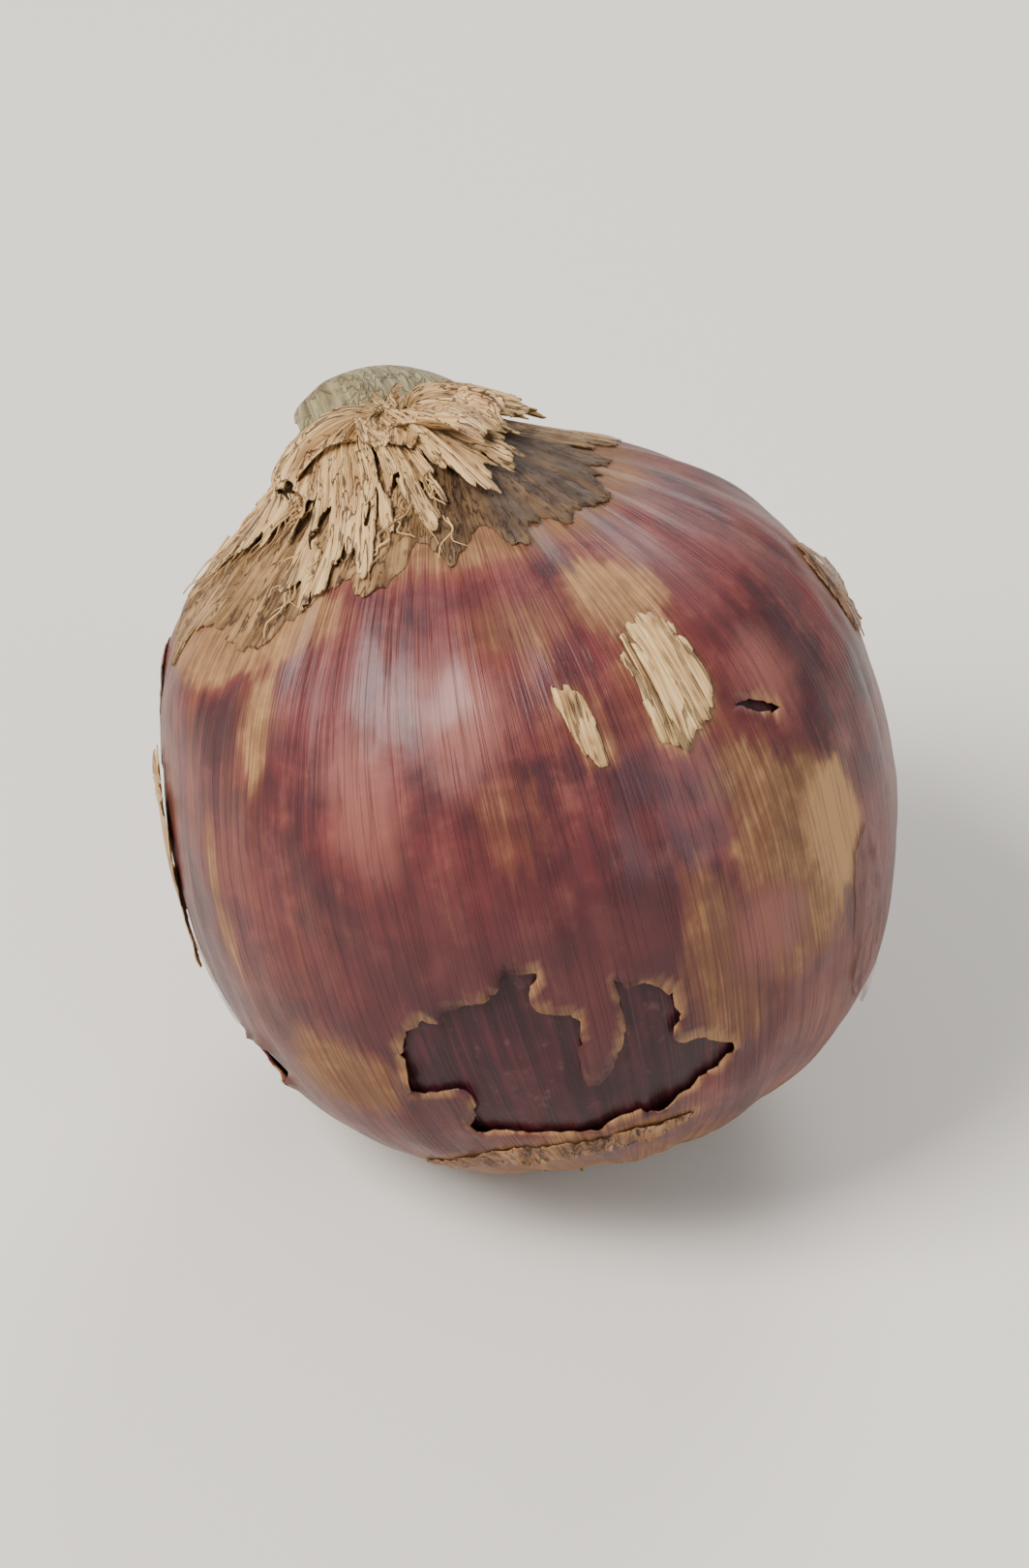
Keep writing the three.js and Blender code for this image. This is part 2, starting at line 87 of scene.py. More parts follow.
def value_noise(points: Array, seed: int) -> Array:
    """Smooth random values from -1 to 1.

    Each whole-number point of space has a random value, from a hash of its coordinates. The eight
    round a point are blended by 3t^2 - 2t^3 along each axis.

    Args:
        points: Positions, with x, y and z on the last axis.
        seed: Picks one of many such fields.

    Returns:
        One value for each position.
    """
    cell = np.floor(points).astype(np.int64)
    part = points - cell
    ease = part * part * (3 - 2 * part)
    total = np.zeros(points.shape[:-1])
    for corner in itertools.product((0, 1), repeat=3):
        offset = np.array(corner)
        key = (cell + offset) @ np.array([73856093, 19349663, 83492791]) + seed * 7919
        key = key.astype(np.uint64)
        key = (key ^ (key >> np.uint64(33))) * np.uint64(0xFF51AFD7ED558CCD)
        key = (key ^ (key >> np.uint64(33))) * np.uint64(0xC4CEB9FE1A85EC53)
        value = (key >> np.uint64(40)).astype(float) / 2**23 - 1
        total += value * np.where(offset, ease, 1 - ease).prod(axis=-1)
    return total


def fractal(points: Array, seed: int, octaves: int = 3) -> Array:
    """Value noise summed over octaves, each twice as fine and half as strong, from -1 to 1.

    Args:
        points: Points, with x, y and z on the last axis.
        seed: Picks one of many such fields.
        octaves: How many are summed.

    Returns:
        One value for each point.
    """
    total = np.zeros(points.shape[:-1])
    reach = 0.0
    for octave in range(octaves):
        strength = 0.5**octave
        total += strength * value_noise(points * 2**octave, seed + 31 * octave)
        reach += strength
    return total / reach


def on_ring(azimuth: Array, height: Array, around: float, along: float) -> Array:
    """Places on a cylinder, for noise that has no seam.

    Args:
        azimuth: Angle round the axis, in radians.
        height: Height along the axis.
        around: Noise cells in a radian.
        along: Noise cells in a unit of height.

    Returns:
        Points with x, y and z on the last axis.
    """
    return np.stack(
        [around * np.cos(azimuth), around * np.sin(azimuth), along * height], axis=-1
    )


@dataclass(frozen=True)
class Ripple:
    """Noise over the skin, which has no seam.

    Its fields are the noise cells in a radian round the axis and in a unit along it, the seed,
    the octaves, the height, and the value that it swings about.
    """

    around: float
    along: float
    seed: int
    octaves: int = 3
    height: float = 1.0
    middle: float = 0.0

    def at(self, azimuth: Array, run: Array) -> Array:
        """The noise at azimuths and at places along the axis or the outline."""
        noise = fractal(on_ring(azimuth, run, self.around, self.along), self.seed, self.octaves)
        return noise * self.height + self.middle

    def mounds(self, azimuth: Array, run: Array) -> Array:
        """The noise cut to between zero and one, which leaves mounds on level ground."""
        return np.clip(self.at(azimuth, run), 0, 1)


def curve_through(knots: Array, t: Array) -> Array:
    """Points of a smooth curve through knots: on each stretch, a Catmull-Rom cubic.

    Args:
        knots: The points to pass through, one to a row.
        t: Places from 0 at the first knot to 1 at the last.

    Returns:
        One point for each place, on a new last axis.
    """
    last = len(knots) - 1
    place = np.clip(t, 0, 1) * last
    at = np.floor(place).astype(int)
    w = (place - at)[..., None]
    p0, p1, p2, p3 = (knots[np.clip(at + k, 0, last)] for k in (-1, 0, 1, 2))
    a, b = (p2 - p0) / 2, (p3 - p1) / 2
    cubic = (2 * p1 - 2 * p2 + a + b) * w**3 + (-3 * p1 + 3 * p2 - 2 * a - b) * w**2
    return cubic + a * w + p1


@dataclass(frozen=True)
class Pleats:
    """Folds that run from root to neck and deepen towards one end.

    Their depth grows from nothing at the start height to all of it at the full height.
    """

    depth: float
    count: int
    start: float
    full: float


@dataclass(frozen=True)
class Shoulder:
    """A full shoulder on one side: its middle, how far it rises, and its reach round and along."""

    azimuth: float = -168
    height: float = 16.5
    rise: float = 2.1
    reach_round: float = 10
    reach_along: float = 5.5
    inner: float = 6

    def rise_at(self, azimuth: Array, height: Array, radius: Array) -> Array:
        """The outward rise: a bell over the arc and the height from its middle.

        Args:
            azimuth: Angles round the axis, in radians.
            height: Heights along the axis.
            radius: Distances from the axis.

        Returns:
            The rise at each place.
        """
        side = away(azimuth, self.azimuth) * radius / self.reach_round
        up = (height - self.height) / self.reach_along
        return self.rise * smooth(radius, 0, self.inner) * np.exp(-(side**2) - up**2)


@dataclass(frozen=True)
class Crown:
    """The broad crown under the neck, off to one side, which lifts the top of the form."""

    azimuth: float = 178
    out: float = 3.8
    rise: float = 4.2
    reach: float = 9.2
    start: float = 0
    full: float = 8

    def rise_over(self, x: Array, y: Array) -> Array:
        """The rise over a place on the plane across the axis: a bell round the crown's middle.

        Args:
            x: First coordinates across the axis.
            y: Second coordinates across the axis.

        Returns:
            The rise at each place.
        """
        towards = math.radians(self.azimuth)
        aside = np.hypot(x - self.out * math.cos(towards), y - self.out * math.sin(towards))
        return self.rise * np.exp(-((aside / self.reach) ** 2))


@dataclass(frozen=True)
class BulbForm:
    """The round form that every layer of skin follows, and how the bulb stands."""

    outline: tuple[tuple[float, float], ...] = (
        (0, -18.2),
        (3.2, -18.4),
        (5.4, -19.5),
        (11.0, -18.1),
        (17.2, -12.6),
        (20.3, -3.2),
        (20.1, 5.8),
        (17.2, 12.8),
        (11.8, 17.4),
        (5.8, 19.6),
        (0, 20.2),
    )
    height_limit: float = 24.0
    swellings: tuple[tuple[float, int, float], ...] = (
        (0.016, 2, 20),
        (0.014, 3, 75),
        (0.007, 5, 10),
    )
    shoulder: Shoulder = Shoulder()
    crown: Crown = Crown()
    pleats: tuple[Pleats, ...] = (Pleats(0.3, 16, 10, 18.5), Pleats(0.2, 14, -14, -19))
    pleat_ring: float = 4
    lumps: Ripple = Ripple(3.5, 0.14, 3, 3, 0.34)
    ribs: Ripple = Ripple(15, 0.05, 9, 2, 0.1)
    lean_deg: float = 22
    lean_towards_deg: float = 128
    flat_depth: float = 0.65
    press_start: float = 0.35
    press_softness: float = 0.45
    samples: Array = field(init=False, repr=False)
    lengths: Array = field(init=False, repr=False)
    down: Array = field(init=False, repr=False)
    turn: Array = field(init=False, repr=False)
    shift: Array = field(init=False, repr=False)
    floor_depth: float = field(init=False, repr=False)

    def __post_init__(self) -> None:
        """Measures the outline, and finds the lowest point of the leaning bulb."""
        samples = np.linspace(0, 1, 401)
        steps = np.diff(self._spline(samples), axis=0)
        lengths = np.concatenate([[0], np.cumsum(np.hypot(steps[:, 0], steps[:, 1]))])
        tilt, towards = math.radians(self.lean_deg), math.radians(self.lean_towards_deg)
        aside = math.sin(tilt)
        lean = Vector((aside * math.cos(towards), aside * math.sin(towards), math.cos(tilt)))
        turn = np.array(Vector((0, 0, 1)).rotation_difference(lean).to_matrix())
        values = {"samples": samples, "lengths": lengths, "turn": turn, "down": -turn.T[:, 2]}
        for name, value in values.items():
            object.__setattr__(self, name, value)
        azimuth, share = np.meshgrid(TURN * np.arange(180) / 180, np.arange(1, 180) / 180)
        points = self.round_points(azimuth, share, 0.0).reshape(-1, 3)
        lowest = points[np.argmax(points @ self.down)]
        depth = lowest @ self.down - self.flat_depth
        shift = -turn @ lowest
        shift[2] = depth
        object.__setattr__(self, "floor_depth", depth)
        object.__setattr__(self, "shift", shift)

    def _spline(self, t: Array) -> Array:
        """Points of the smooth curve through the outline's points."""
        return curve_through(np.array(self.outline), t)

    @property
    def length(self) -> float:
        """The outline's length from the root end to the neck."""
        return float(self.lengths[-1])

    def outline_at(self, share: Array) -> tuple[Array, Array]:
        """Points and unit tangents of the outline.

        Args:
            share: Share of its length, from the root end.

        Returns:
            Points and tangents, each with distance from the axis and height on the last axis.
        """
        flat = np.ravel(share)
        t = np.interp(flat * self.length, self.lengths, self.samples)
        tangent = self._spline(np.minimum(t + 1e-4, 1)) - self._spline(np.maximum(t - 1e-4, 0))
        tangent /= np.linalg.norm(tangent, axis=1, keepdims=True)
        shape = (*np.shape(share), 2)
        return self._spline(t).reshape(shape), tangent.reshape(shape)

    def share_at(self, height: float) -> float:
        """The share of the outline's length at which the skin reaches a height."""
        shares = np.linspace(0.1, 1, 2001)
        return float(np.interp(height, self.outline_at(shares)[0][:, 1], shares))

    def swell(self, azimuth: Array, height: Array) -> Array:
        """Share of the radius: one, plus slow waves round the bulb that fade to both ends.

        Args:
            azimuth: Angles round the axis, in radians.
            height: Heights along the axis.

        Returns:
            The share at each place.
        """
        fade = np.clip(1 - (height / self.height_limit) ** 2, 0, None)
        waves = sum(
            share * np.cos(count * (azimuth - math.radians(crest)))
            for share, count, crest in self.swellings
        )
        return 1 + fade * waves

    def round_points(self, azimuth: Array, share: Array, lift: Array | float) -> Array:
        """Points of a layer before the bulb is pressed on its flat spot.

        The outline is moved outward by the lift, swelled, filled out at the shoulder, and pleated
        by a cosine whose depth grows towards each end. The crown then raises its upper part.

        Args:
            azimuth: Angles round the axis, in radians.
            share: Shares of the outline's length, from the root end.
            lift: How far outward to move the points.

        Returns:
            The points.
        """
        point, tangent = self.outline_at(share)
        height = point[..., 1] - lift * tangent[..., 0]
        radius = (point[..., 0] + lift * tangent[..., 1]) * self.swell(azimuth, height)
        radius = radius + self.shoulder.rise_at(azimuth, height, radius)
        for fold in self.pleats:
            growth = smooth(height, fold.start, fold.full)
            growth = growth * np.clip(radius / self.pleat_ring, 0, 1)
            radius = radius + fold.depth * growth * np.cos(fold.count * azimuth)
        radius = np.maximum(0, radius)
        x, y = radius * np.cos(azimuth), radius * np.sin(azimuth)
        grown = smooth(height, self.crown.start, self.crown.full)
        return np.stack([x, y, height + grown * self.crown.rise_over(x, y)], axis=-1)

    def press(self, points: Array) -> Array:
        """Flattens points softly near the resting surface, and keeps them above it.

        How far a point reaches past the start of the press is eased by a hyperbolic tangent.

        Args:
            points: Points, with x, y and z on the last axis.

        Returns:
            The moved points.
        """
        start = self.floor_depth - self.press_start
        over = np.clip(points @ self.down - start, 0, None)
        kept = self.press_softness * np.tanh(over / self.press_softness)
        kept = np.minimum(kept, self.press_start)
        return points + (kept - over)[..., None] * self.down * (over > 0)[..., None]

    def relief(self, azimuth: Array, share: Array) -> Array:
        """Low lumps and ribs of the mauve skin, which the flesh and every scrap follow."""
        height = self.outline_at(share)[0][..., 1]
        return self.lumps.at(azimuth, height) + self.ribs.at(azimuth, height)

    def layer(self, azimuth: Array, share: Array, lift: Array | float) -> Array:
        """Points of a layer of the standing bulb, lifted outward from the mauve skin."""
        return self.press(self.round_points(azimuth, share, self.relief(azimuth, share) + lift))

    def place(self, points: Array) -> Array:
        """Points of the bulb's own frame, in the standing part's frame and in metres."""
        return (points @ self.turn.T + self.shift) * MM


FORM = BulbForm()


def lids(first: Array, last: Array) -> Array:
    """Faces that close the first and last rings of tubes whose rings run counter-clockwise.

    Corner k of a ring with n corners faces corner n - 1 - k across it, and a ladder of faces
    joins these pairs.

    Args:
        first: Corner numbers of the first rings, as tubes by an even count of corners.
        last: Those of the last rings.

    Returns:
        The faces.
    """
    k = np.arange(first.shape[-1] // 2 - 1)
    rungs = np.stack([k, k + 1, -2 - k, -1 - k], axis=-1)
    return np.concatenate([first[:, rungs[:, ::-1]], last[:, rungs]]).reshape(-1, 4)


@dataclass
class Surface:
    """A mesh in the making: points, faces with four corners, pattern places and painted values."""

    points: Array
    quads: Array
    uv: Array
    paint: dict[str, Array] = field(default_factory=dict)

    @staticmethod
    def joined(parts: Sequence["Surface"]) -> "Surface":
        """All the parts as one surface.

        Args:
            parts: Surfaces that carry the same painted values.

        Returns:
            The whole surface.
        """
        starts = np.cumsum([0] + [len(part.points) for part in parts[:-1]])
        return Surface(
            np.concatenate([part.points for part in parts]),
            np.concatenate([part.quads + start for part, start in zip(parts, starts)]),
            np.concatenate([part.uv for part in parts]),
            {
                name: np.concatenate([part.paint[name] for part in parts])
                for name in parts[0].paint
            },
        )

    def shell(self, inner: Array) -> "Surface":
        """This sheet with an inner face and a rim, as one closed thin body.

        An edge that only one face uses is a border. Each border edge gets one rim face.

        Args:
            inner: The inner face's points, one for each point of the sheet.

        Returns:
            The closed surface.
        """
        count = len(self.points)
        edges = np.concatenate([self.quads[:, [k, (k + 1) % 4]] for k in range(4)])
        lonely = ~np.isin(edges[:, 0] * count + edges[:, 1], edges[:, 1] * count + edges[:, 0])
        a, b = edges[lonely].T
        rim = np.stack([b, a, a + count, b + count], axis=1)
        return Surface(
            np.concatenate([self.points, inner]),
            np.concatenate([self.quads, self.quads[:, ::-1] + count, rim]),
            np.concatenate([self.uv, self.uv]),
            {name: np.concatenate([value, value]) for name, value in self.paint.items()},
        )

    def to_object(self, name: str, material: bpy.types.Material) -> bpy.types.Object:
        """Makes the Blender object, standing in its place in metres.

        The pattern place across the seam of the ring counts on past 1, so no face spans it back.

        Args:
            name: The object's name.
            material: Its material.

        Returns:
            The object.
        """
        mesh = bpy.data.meshes.new(name)
        corners = self.quads.ravel()
        mesh.vertices.add(len(self.points))
        mesh.vertices.foreach_set("co", FORM.place(self.points).astype(np.float32).ravel())
        mesh.loops.add(len(corners))
        mesh.loops.foreach_set("vertex_index", corners.astype(np.int32))
        mesh.polygons.add(len(self.quads))
        mesh.polygons.foreach_set("loop_start", np.arange(0, len(corners), 4, dtype=np.int32))
        mesh.polygons.foreach_set("use_smooth", np.ones(len(self.quads), bool))
        places = self.uv[self.quads]
        across = places[..., 0]
        spans = (across.max(axis=1) - across.min(axis=1) > 0.5)[:, None]
        places[..., 0] = np.where(spans & (across < 0.5), across + 1, across)
        layer = mesh.uv_layers.new(name="grain")
        layer.data.foreach_set("uv", places.astype(np.float32).ravel())
        for key, value in self.paint.items():
            attribute = mesh.attributes.new(key, "FLOAT", "POINT")
            attribute.data.foreach_set("value", value.astype(np.float32))
        mesh.update(calc_edges=True)
        mesh.validate()
        mesh.materials.append(material)
        piece = bpy.data.objects.new(name, mesh)
        bpy.context.scene.collection.objects.link(piece)
        return piece


def without_specks(kept: Array, closed: bool, least: int = 24) -> Array:
    """Clears corner contacts and small loose specks from a grid of kept cells.

    Where two kept cells touch at a corner alone, both go, until no such place is left. Then each
    cell starts with its own number, takes the least number among the cells that share an edge
    with it, and then the number that the cell of that number has, until nothing changes. Cells
    of one number are one scrap.

    Args:
        kept: Which cells are kept, by row and column.
        closed: Whether the last column meets the first.
        least: The fewest cells that a scrap may have.

    Returns:
        Which cells stay.
    """
    grid = np.pad(kept, ((0, 1), (0, 0 if closed else 1)))
    while True:
        beside, above = np.roll(grid, -1, axis=1), np.roll(grid, -1, axis=0)
        across = np.roll(beside, -1, axis=0)
        falling = grid & across & ~beside & ~above
        rising = beside & above & ~grid & ~across
        if not (falling | rising).any():
            break
        grid &= ~(falling | np.roll(falling, (1, 1), (0, 1)))
        grid &= ~(np.roll(rising, 1, axis=1) | np.roll(rising, 1, axis=0))
    number = np.where(grid, np.arange(grid.size).reshape(grid.shape), grid.size)
    while True:
        turns = [np.roll(number, way, axis) for axis in (0, 1) for way in (-1, 1)]
        near = np.where(grid, np.min([number, *turns], axis=0), grid.size)
        near = np.append(near, grid.size)[near]
        if (near == number).all():
            break
        number = near
    size = np.bincount(number.ravel(), minlength=grid.size + 1)
    return (grid & (size[number] >= least))[: kept.shape[0], : kept.shape[1]]


@dataclass(frozen=True)
class Patch:
    """A grid of places on the skin: azimuths in degrees, shares of the outline, and cells."""

    azimuths: tuple[float, float]
    shares: tuple[float, float]
    columns: int
    rows: int

    @property
    def closed(self) -> bool:
        """Whether the grid goes all the way round."""
        return self.azimuths[1] - self.azimuths[0] >= 360

    def torn(self, keep: Callable[[Array, Array], Array]) -> tuple[Array, Array, Array]:
        """Cuts a ragged sheet out of the grid.

        Faces with a corner where the field is below zero go, and so do loose specks. Each corner
        on the new border then slides down the field's slope to where the field is zero, so that
        the border is smooth.

        Args:
            keep: A field over azimuth and share, above zero where the sheet is.

        Returns:
            Azimuths, shares and faces of what is kept.
        """
        low, high = (math.radians(value) for value in self.azimuths)
        count = self.columns if self.closed else self.columns + 1
        step = np.array([(high - low) / self.columns, np.diff(self.shares)[0] / self.rows])
        i, j = np.meshgrid(np.arange(count), np.arange(self.rows + 1))
        azimuth, share = low + step[0] * i, self.shares[0] + step[1] * j
        values = keep(azimuth, share)
        corner = (j * count + i)[:-1, : self.columns]
        ahead = (j * count + (i + 1) % count)[:-1, : self.columns]
        quads = np.stack([corner, ahead, ahead + count, corner + count], axis=-1).reshape(-1, 4)
        flat = values.ravel()
        inside = (flat[quads] > 0).all(axis=1)
        kept = without_specks(inside.reshape(corner.shape), self.closed).ravel()
        used, dropped = np.zeros(flat.size, bool), np.zeros(flat.size, bool)
        used[quads[kept].ravel()] = True
        dropped[quads[~kept].ravel()] = True
        slope_j = np.gradient(values, axis=0).ravel()
        if self.closed:
            slope_i = ((np.roll(values, -1, axis=1) - np.roll(values, 1, axis=1)) / 2).ravel()
        else:
            slope_i = np.gradient(values, axis=1).ravel()
        pull = np.where(used & dropped, -flat / (slope_i**2 + slope_j**2 + 1e-12), 0)
        azimuth = azimuth.ravel() + step[0] * np.clip(pull * slope_i, -SLIDE, SLIDE)
        share = share.ravel() + step[1] * np.clip(pull * slope_j, -SLIDE, SLIDE)
        number = np.cumsum(used) - 1
        return azimuth[used], share[used], number[quads[kept]]


@dataclass(frozen=True)
class Oval:
    """A ragged oval on the skin: a tear, a dry patch or a stain.

    Its fields are the azimuth of its middle in degrees, its middle's height and its half sizes in
    millimetres, its turn in degrees, how ragged its edge is as a share of its lesser half size,
    the seed of its noise, and how far its two ends fray.
    """

    azimuth: float
    height: float
    half_width: float
    half_height: float
    turn: float = 0.0
    ragged: float = 0.3
    seed: int = 1
    fray: float = 0.6

    def distance(self, azimuth: Array, share: Array) -> Array:
        """How far places lie outside the oval's ragged edge, below zero inside.

        Places are laid flat round the oval's middle, as arcs round and along the skin. The
        distance from the oval is measured along the ray from its middle. Noise at two scales
        moves the edge in and out, and noise stretched along the grain frays its two ends.

        Args:
            azimuth: Angles round the axis, in radians.
            share: Shares of the outline's length, from the root end.

        Returns:
            One distance for each place.
        """
        radius = FORM.outline_at(share)[0][..., 0]
        x = away(azimuth, self.azimuth) * radius
        y = (share - FORM.share_at(self.height)) * FORM.length
        y = y + Ripple(46, 0.05, self.seed + 9, 2, self.fray).at(azimuth, share * RUN)
        angle = math.radians(self.turn)
        x, y = x * math.cos(angle) + y * math.sin(angle), y * math.cos(angle) - x * math.sin(angle)
        reach = np.hypot(x, y)
        size = np.hypot(x / self.half_width, y / self.half_height)
        least = min(self.half_width, self.half_height)
        ray = np.where(size > 1e-3, reach / np.maximum(size, 1e-3), least)
        place = np.stack([x, y, np.full_like(x, 0.5)], axis=-1)
        rough = fractal(place * 0.5, self.seed, 2) + 0.35 * fractal(place * 2.1, self.seed + 5, 2)
        return (size - 1) * ray + self.ragged * least * rough

    def cover(self, azimuth: Array, share: Array, softness: float) -> Array:
        """One well inside the oval, falling to zero across a soft edge."""
        return smooth(self.distance(azimuth, share), softness, -softness)


@dataclass(frozen=True)
class Slits:
    """Thin slits along the grain of a sheet, at seeded places round the axis and out from it."""

    count: int
    azimuths: tuple[float, float]
    radii: tuple[float, float]
    half_widths: tuple[float, float]
    half_lengths: tuple[float, float]
    seed: int

    def clearance(self, azimuth: Array, radius: Array) -> Array:
        """Distance from the nearest slit, below zero inside.

        Each slit is a thin oval. The distance is its width times the excess of the oval's own
        measure over one, and noise makes every slit wavy.

        Args:
            azimuth: Angles round the axis, in radians.
            radius: Distances from the axis.

        Returns:
            One distance for each place.
        """
        random = np.random.default_rng(self.seed)
        middle = np.radians(random.uniform(*self.azimuths, self.count))
        ring = random.uniform(*self.radii, self.count)
        wide = random.uniform(*self.half_widths, self.count)
        tall = random.uniform(*self.half_lengths, self.count)
        wave = Ripple(12, 0.9, self.seed + 1, 2, 0.35).at(azimuth, radius)
        nearest = np.full(azimuth.shape, FAR)
        for at, out, half_width, half_length in zip(middle, ring, wide, tall):
            turn = (azimuth - at + math.pi) % TURN - math.pi
            size = np.hypot((turn * radius + wave) / half_width, (radius - out) / half_length)
            nearest = np.minimum(nearest, (size - 1) * half_width)
        return nearest


class Wire:
    """An output of a shader node, with arithmetic that adds Math nodes."""

    def __init__(self, net: "Net", socket: bpy.types.NodeSocket) -> None:
        """Wraps one socket of a net."""
        self.net = net
        self.socket = socket

    def __add__(self, other: "Wire | float") -> "Wire":
        """The sum."""
        return self.net.math("ADD", self, other)

    def __sub__(self, other: "Wire | float") -> "Wire":
        """The difference."""
        return self.net.math("SUBTRACT", self, other)

    def __rsub__(self, other: float) -> "Wire":
        """A number less this."""
        return self.net.math("SUBTRACT", other, self)

    def __mul__(self, other: "Wire | float") -> "Wire":
        """The product."""
        return self.net.math("MULTIPLY", self, other)

    __radd__ = __add__
    __rmul__ = __mul__


class Net:
    """The node tree of one material, with a short way to add each kind of node."""

    def __init__(self, name: str) -> None:
        """Starts an empty material.

        Args:
            name: The material's name.
        """
        self.material = bpy.data.materials.new(name)
        self.material.use_nodes = True
        self.tree = self.material.node_tree
        self.tree.nodes.clear()

    def node(
        self,
        kind: str,
        settings: dict[str, Any] | None = None,
        inputs: dict[Any, Any] | None = None,
    ) -> bpy.types.Node:
        """Adds a node.

        Args:
            kind: The node's type.
            settings: Its properties, such as a Math node's operation, set first.
            inputs: Its sockets, by name or number, with a value or a Wire for each.

        Returns:
            The node.
        """
        made = self.tree.nodes.new(kind)
        for name, value in (settings or {}).items():
            setattr(made, name, value)
        for key, value in (inputs or {}).items():
            if isinstance(value, Wire):
                self.tree.links.new(value.socket, made.inputs[key])
            else:
                made.inputs[key].default_value = value
        return made

    def math(self, operation: str, *values: "Wire | float") -> Wire:
        """A Math node's result."""
        made = self.node("ShaderNodeMath", {"operation": operation}, dict(enumerate(values)))
        return Wire(self, made.outputs[0])

    def between(self, value: Wire, low: float, high: float) -> Wire:
        """Rises smoothly from 0 where the value is low to 1 where it is high.

        Args:
            value: What is compared.
            low: Where it is 0.
            high: Where it is 1.

        Returns:
            The rise.
        """
        settings = {"interpolation_type": "SMOOTHSTEP"}
        inputs = {"Value": value, "From Min": low, "From Max": high}
        return Wire(self, self.node("ShaderNodeMapRange", settings, inputs).outputs[0])

    def mix(self, share: "Wire | float", a: "Wire | Colour", b: "Wire | Colour") -> Wire:
        """The colour that lies the given share of the way from a to b.

        Args:
            share: The share.
            a: The first colour.
            b: The second colour.

        Returns:
            The mixed colour.
        """
        ends = [value if isinstance(value, Wire) else (*value, 1) for value in (a, b)]
        inputs = {0: share, 6: ends[0], 7: ends[1]}
        made = self.node("ShaderNodeMix", {"data_type": "RGBA", "clamp_factor": True}, inputs)
        return Wire(self, made.outputs[2])

    def painted(self, name: str) -> Wire:
        """A value that the mesh carries at its points."""
        made = self.node("ShaderNodeAttribute", {"attribute_name": name})
        return Wire(self, made.outputs["Fac"])

    def grain(self, around: float, along: float) -> Wire:
        """Places for a pattern that runs from root to neck and has no seam.

        The first pattern coordinate goes round a circle of the radius given by around, and the
        second is stretched by along.

        Args:
            around: The circle's radius.
            along: The stretch.

        Returns:
            The places.
        """
        uv = self.node("ShaderNodeUVMap", {"uv_map": "grain"})
        parts = self.node("ShaderNodeSeparateXYZ", inputs={0: Wire(self, uv.outputs[0])})
        angle = Wire(self, parts.outputs[0]) * TURN
        inputs = {
            0: self.math("COSINE", angle) * around,
            1: self.math("SINE", angle) * around,
            2: Wire(self, parts.outputs[1]) * along,
        }
        return Wire(self, self.node("ShaderNodeCombineXYZ", inputs=inputs).outputs[0])

    def here(self) -> Wire:
        """Places in the part's frame, in metres."""
        return Wire(self, self.node("ShaderNodeTexCoord").outputs["Object"])

    def noise(self, place: Wire, scale: float, detail: float, warp: float) -> Wire:
        """Noise from 0 to 1 at given places."""
        inputs = {"Vector": place, "Scale": scale, "Detail": detail, "Distortion": warp}
        return Wire(self, self.node("ShaderNodeTexNoise", inputs=inputs).outputs[0])

    def fibres(self, around: float, along: float, detail: float, warp: float = 0) -> Wire:
        """Noise drawn out from root to neck, from 0 to 1."""
        return self.noise(self.grain(around, along), 1.0, detail, warp)

    def clouds(self, scale: float, detail: float, warp: float = 0) -> Wire:
        """Noise that is the same in all directions, from 0 to 1, with cells of 1/scale metres."""
        return self.noise(self.here(), scale, detail, warp)

    def hairline(self, noise: Wire, inner: float, outer: float) -> Wire:
        """One along the thin lines where a noise crosses its middle, and zero beside them."""
        return 1 - self.between(self.math("ABSOLUTE", noise - 0.5), inner, outer)

    def bump(self, height: Wire, depth_mm: float) -> Wire:
        """A bumped normal, from a height of 0 to 1 that stands for a depth in millimetres."""
        inputs = {"Strength": 1.0, "Distance": depth_mm * MM, "Height": height}
        return Wire(self, self.node("ShaderNodeBump", inputs=inputs).outputs[0])

    def finish(self, **inputs: Any) -> bpy.types.Material:
        """Ends the net in a Principled shader, whose sockets are named with underscores.

        Args:
            **inputs: A value or a Wire for each socket.

        Returns:
            The material.
        """
        named = {}
        for name, value in inputs.items():
            key = name.replace("_", " ")
            named[key] = (*value, 1) if isinstance(value, tuple) and len(value) == 3 else value
        shader = self.node("ShaderNodeBsdfPrincipled", inputs=named)
        output = self.node("ShaderNodeOutputMaterial")
        self.tree.links.new(shader.outputs[0], output.inputs[0])
        return self.material


def srgb(red: int, green: int, blue: int) -> Colour:
    """A screen colour, from 0 to 255, as linear light."""
    parts = [value / 255 for value in (red, green, blue)]
    return tuple(v / 12.92 if v <= 0.04045 else ((v + 0.055) / 1.055) ** 2.4 for v in parts)


